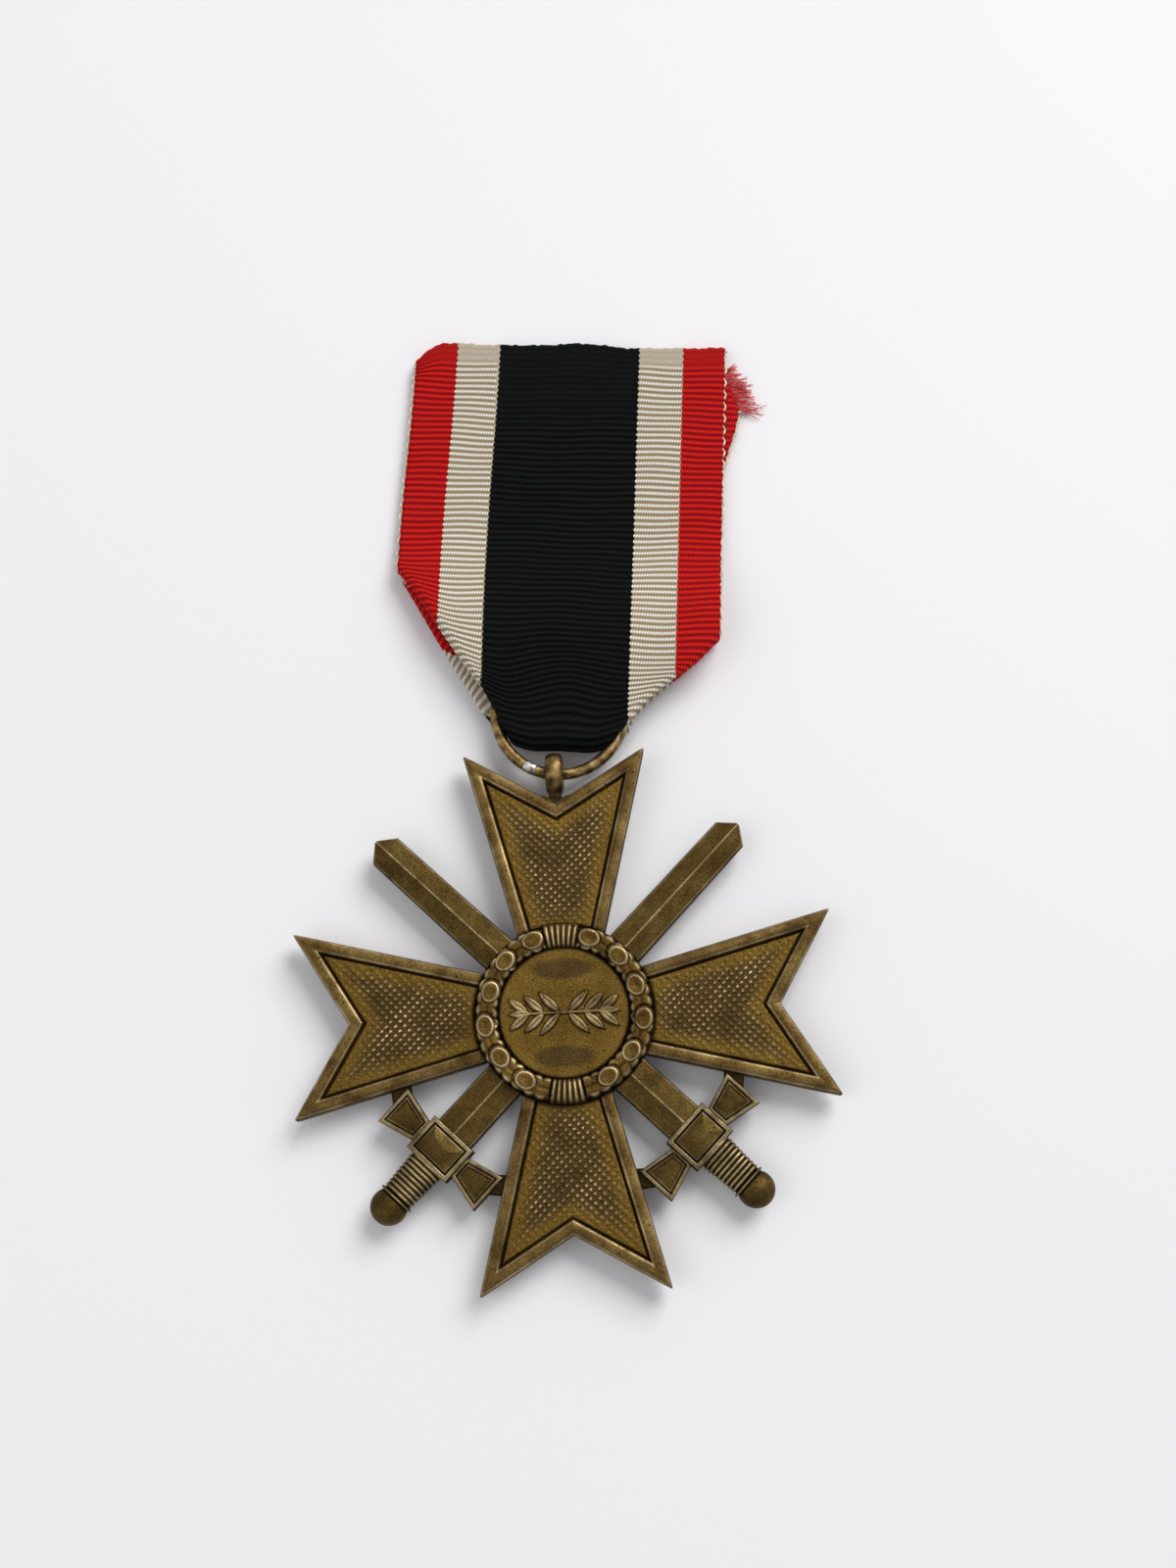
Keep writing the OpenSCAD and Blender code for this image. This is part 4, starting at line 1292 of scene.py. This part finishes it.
def makeGrosgrain():
    look = ribbonLook
    s = ribbonShape
    material, tree, shader = newMaterial("grosgrain")
    weave = placeGroup(tree, ribWeave, **{"Rib Pitch": s["ribPitch"]})
    first, second = s["red"] / s["width"], (s["red"] + s["cream"]) / s["width"]
    shadeAndLitColours = []
    for suffix in ("Shade", ""):
        red, cream, black = (look[key + suffix] for key in ("red", "cream", "black"))
        stops = [(0, red), (first, cream), (second, black), (1 - second, cream), (1 - first, red)]
        shadeAndLitColours.append(rampNode(tree, weave.outputs["Stripe"], stops, "CONSTANT"))
    # the lit colours are painted on the crests and the shaded ones in the grooves
    colour = mixColour(tree, weave.outputs["Crest"], shadeAndLitColours[0], shadeAndLitColours[1])
    # pressed, flattened ribbon is pushed towards the lit colours, a painted sheen
    flattened = addNode(tree, "ShaderNodeAttribute", {"attribute_name": "flattened"}).outputs["Fac"]
    worn = mathNode(tree, "MULTIPLY", flattened, look["pressedSheen"])
    colour = mixColour(tree, worn, colour, shadeAndLitColours[1])
    fleck = mathNode(tree, "SUBTRACT", weave.outputs["Fuzz"], look["fleckFrom"])
    fleck = mathNode(tree, "MULTIPLY", fleck, 0.6, clamp=True)
    colour = mixColour(tree, fleck, colour, look["fleck"])
    tree.links.new(colour, shader.inputs["Base Color"])
    shader.inputs["Roughness"].default_value = look["roughness"]
    shader.inputs["Specular IOR Level"].default_value = look["specular"]
    addBump(tree, shader, weave.outputs["Height"], look["bump"], 0.07)
    return material


def makeThread(name, light, dark):
    material, tree, shader = newMaterial(name)
    coords = addNode(tree, "ShaderNodeTexCoord")
    strand = addNode(tree, "ShaderNodeTexNoise", Scale=2600.0, Detail=3.0)
    tree.links.new(coords.outputs["Object"], strand.inputs["Vector"])
    colour = rampNode(tree, strand.outputs["Fac"], [(0.35, dark), (0.65, light)])
    tree.links.new(colour, shader.inputs["Base Color"])
    shader.inputs["Roughness"].default_value = 0.6
    shader.inputs["Specular IOR Level"].default_value = 0.2
    addBump(tree, shader, strand.outputs["Fac"], 0.5, 0.03)
    return material


grosgrain = makeGrosgrain()
picotThread = makeThread("picotThread", (0.80, 0.74, 0.60), (0.52, 0.45, 0.33))
redThread = makeThread("redThread", (0.70, 0.10, 0.09), (0.50, 0.015, 0.02))

ribbon, surface, pathRows, ribbonLength = makeRibbon()
picots = makePicots(surface, pathRows)
fray = makeFray()
print("ribbon made, flat length", round(ribbonLength, 1), "mm")

# floor, light, camera

# each light is its name, place in metres, size and power; the camera's turn is in degrees
studio = {
    "floor": (0.86, 0.85, 0.855), "floorRough": 0.6, "floorHalf": 4000, "floorLevel": -0.02,
    "world": (0.95, 0.96, 1.0), "worldStrength": 0.44,
    "lights": [("key", (0.66, 0.78, 0.98), 0.85, 15.0), ("fill", (-0.6, -0.15, 0.7), 0.8, 1.6)],
    "lightsAim": (0, 0.02, 0),
    "lens": 46.125, "cameraPlace": (0.00555, -0.02445, 0.17878), "cameraTurn": (14.33, 1.49, -2.61)}


def makeStudio():
    bpy.context.scene.view_settings.view_transform = "Standard"
    half, level = studio["floorHalf"], studio["floorLevel"]
    corners = [[x * half, y * half, level] for x, y in ((-1, -1), (1, -1), (1, 1), (-1, 1))]
    mesh = meshFrom("floor", corners, [[0, 1, 2, 3]])
    floor = bpy.data.objects.new("floor", mesh)
    bpy.context.scene.collection.objects.link(floor)
    material, _, shader = newMaterial("floor")
    shader.inputs["Base Color"].default_value = (*studio["floor"], 1)
    shader.inputs["Roughness"].default_value = studio["floorRough"]
    mesh.materials.append(material)
    world = bpy.data.worlds.new("studio")
    world.use_nodes = True
    background = world.node_tree.nodes["Background"]
    background.inputs["Color"].default_value = (*studio["world"], 1)
    background.inputs["Strength"].default_value = studio["worldStrength"]
    bpy.context.scene.world = world
    for name, place, size, power in studio["lights"]:
        light = bpy.data.lights.new(name, "AREA")
        light.shape = "SQUARE"
        light.size = size
        light.energy = power
        lamp = bpy.data.objects.new(name, light)
        lamp.location = place
        aim = Vector(studio["lightsAim"]) - Vector(place)
        lamp.rotation_euler = aim.to_track_quat("-Z", "Y").to_euler()
        bpy.context.scene.collection.objects.link(lamp)


def makeCamera():
    camera = bpy.data.objects.new("camera", bpy.data.cameras.new("camera"))
    camera.data.sensor_width = 36
    camera.data.lens = studio["lens"]
    camera.data.clip_start = 0.005
    camera.location = studio["cameraPlace"]
    camera.rotation_euler = Euler([math.radians(angle) for angle in studio["cameraTurn"]])
    bpy.context.scene.collection.objects.link(camera)
    bpy.context.scene.camera = camera


makeStudio()
makeCamera()
print("studio made")
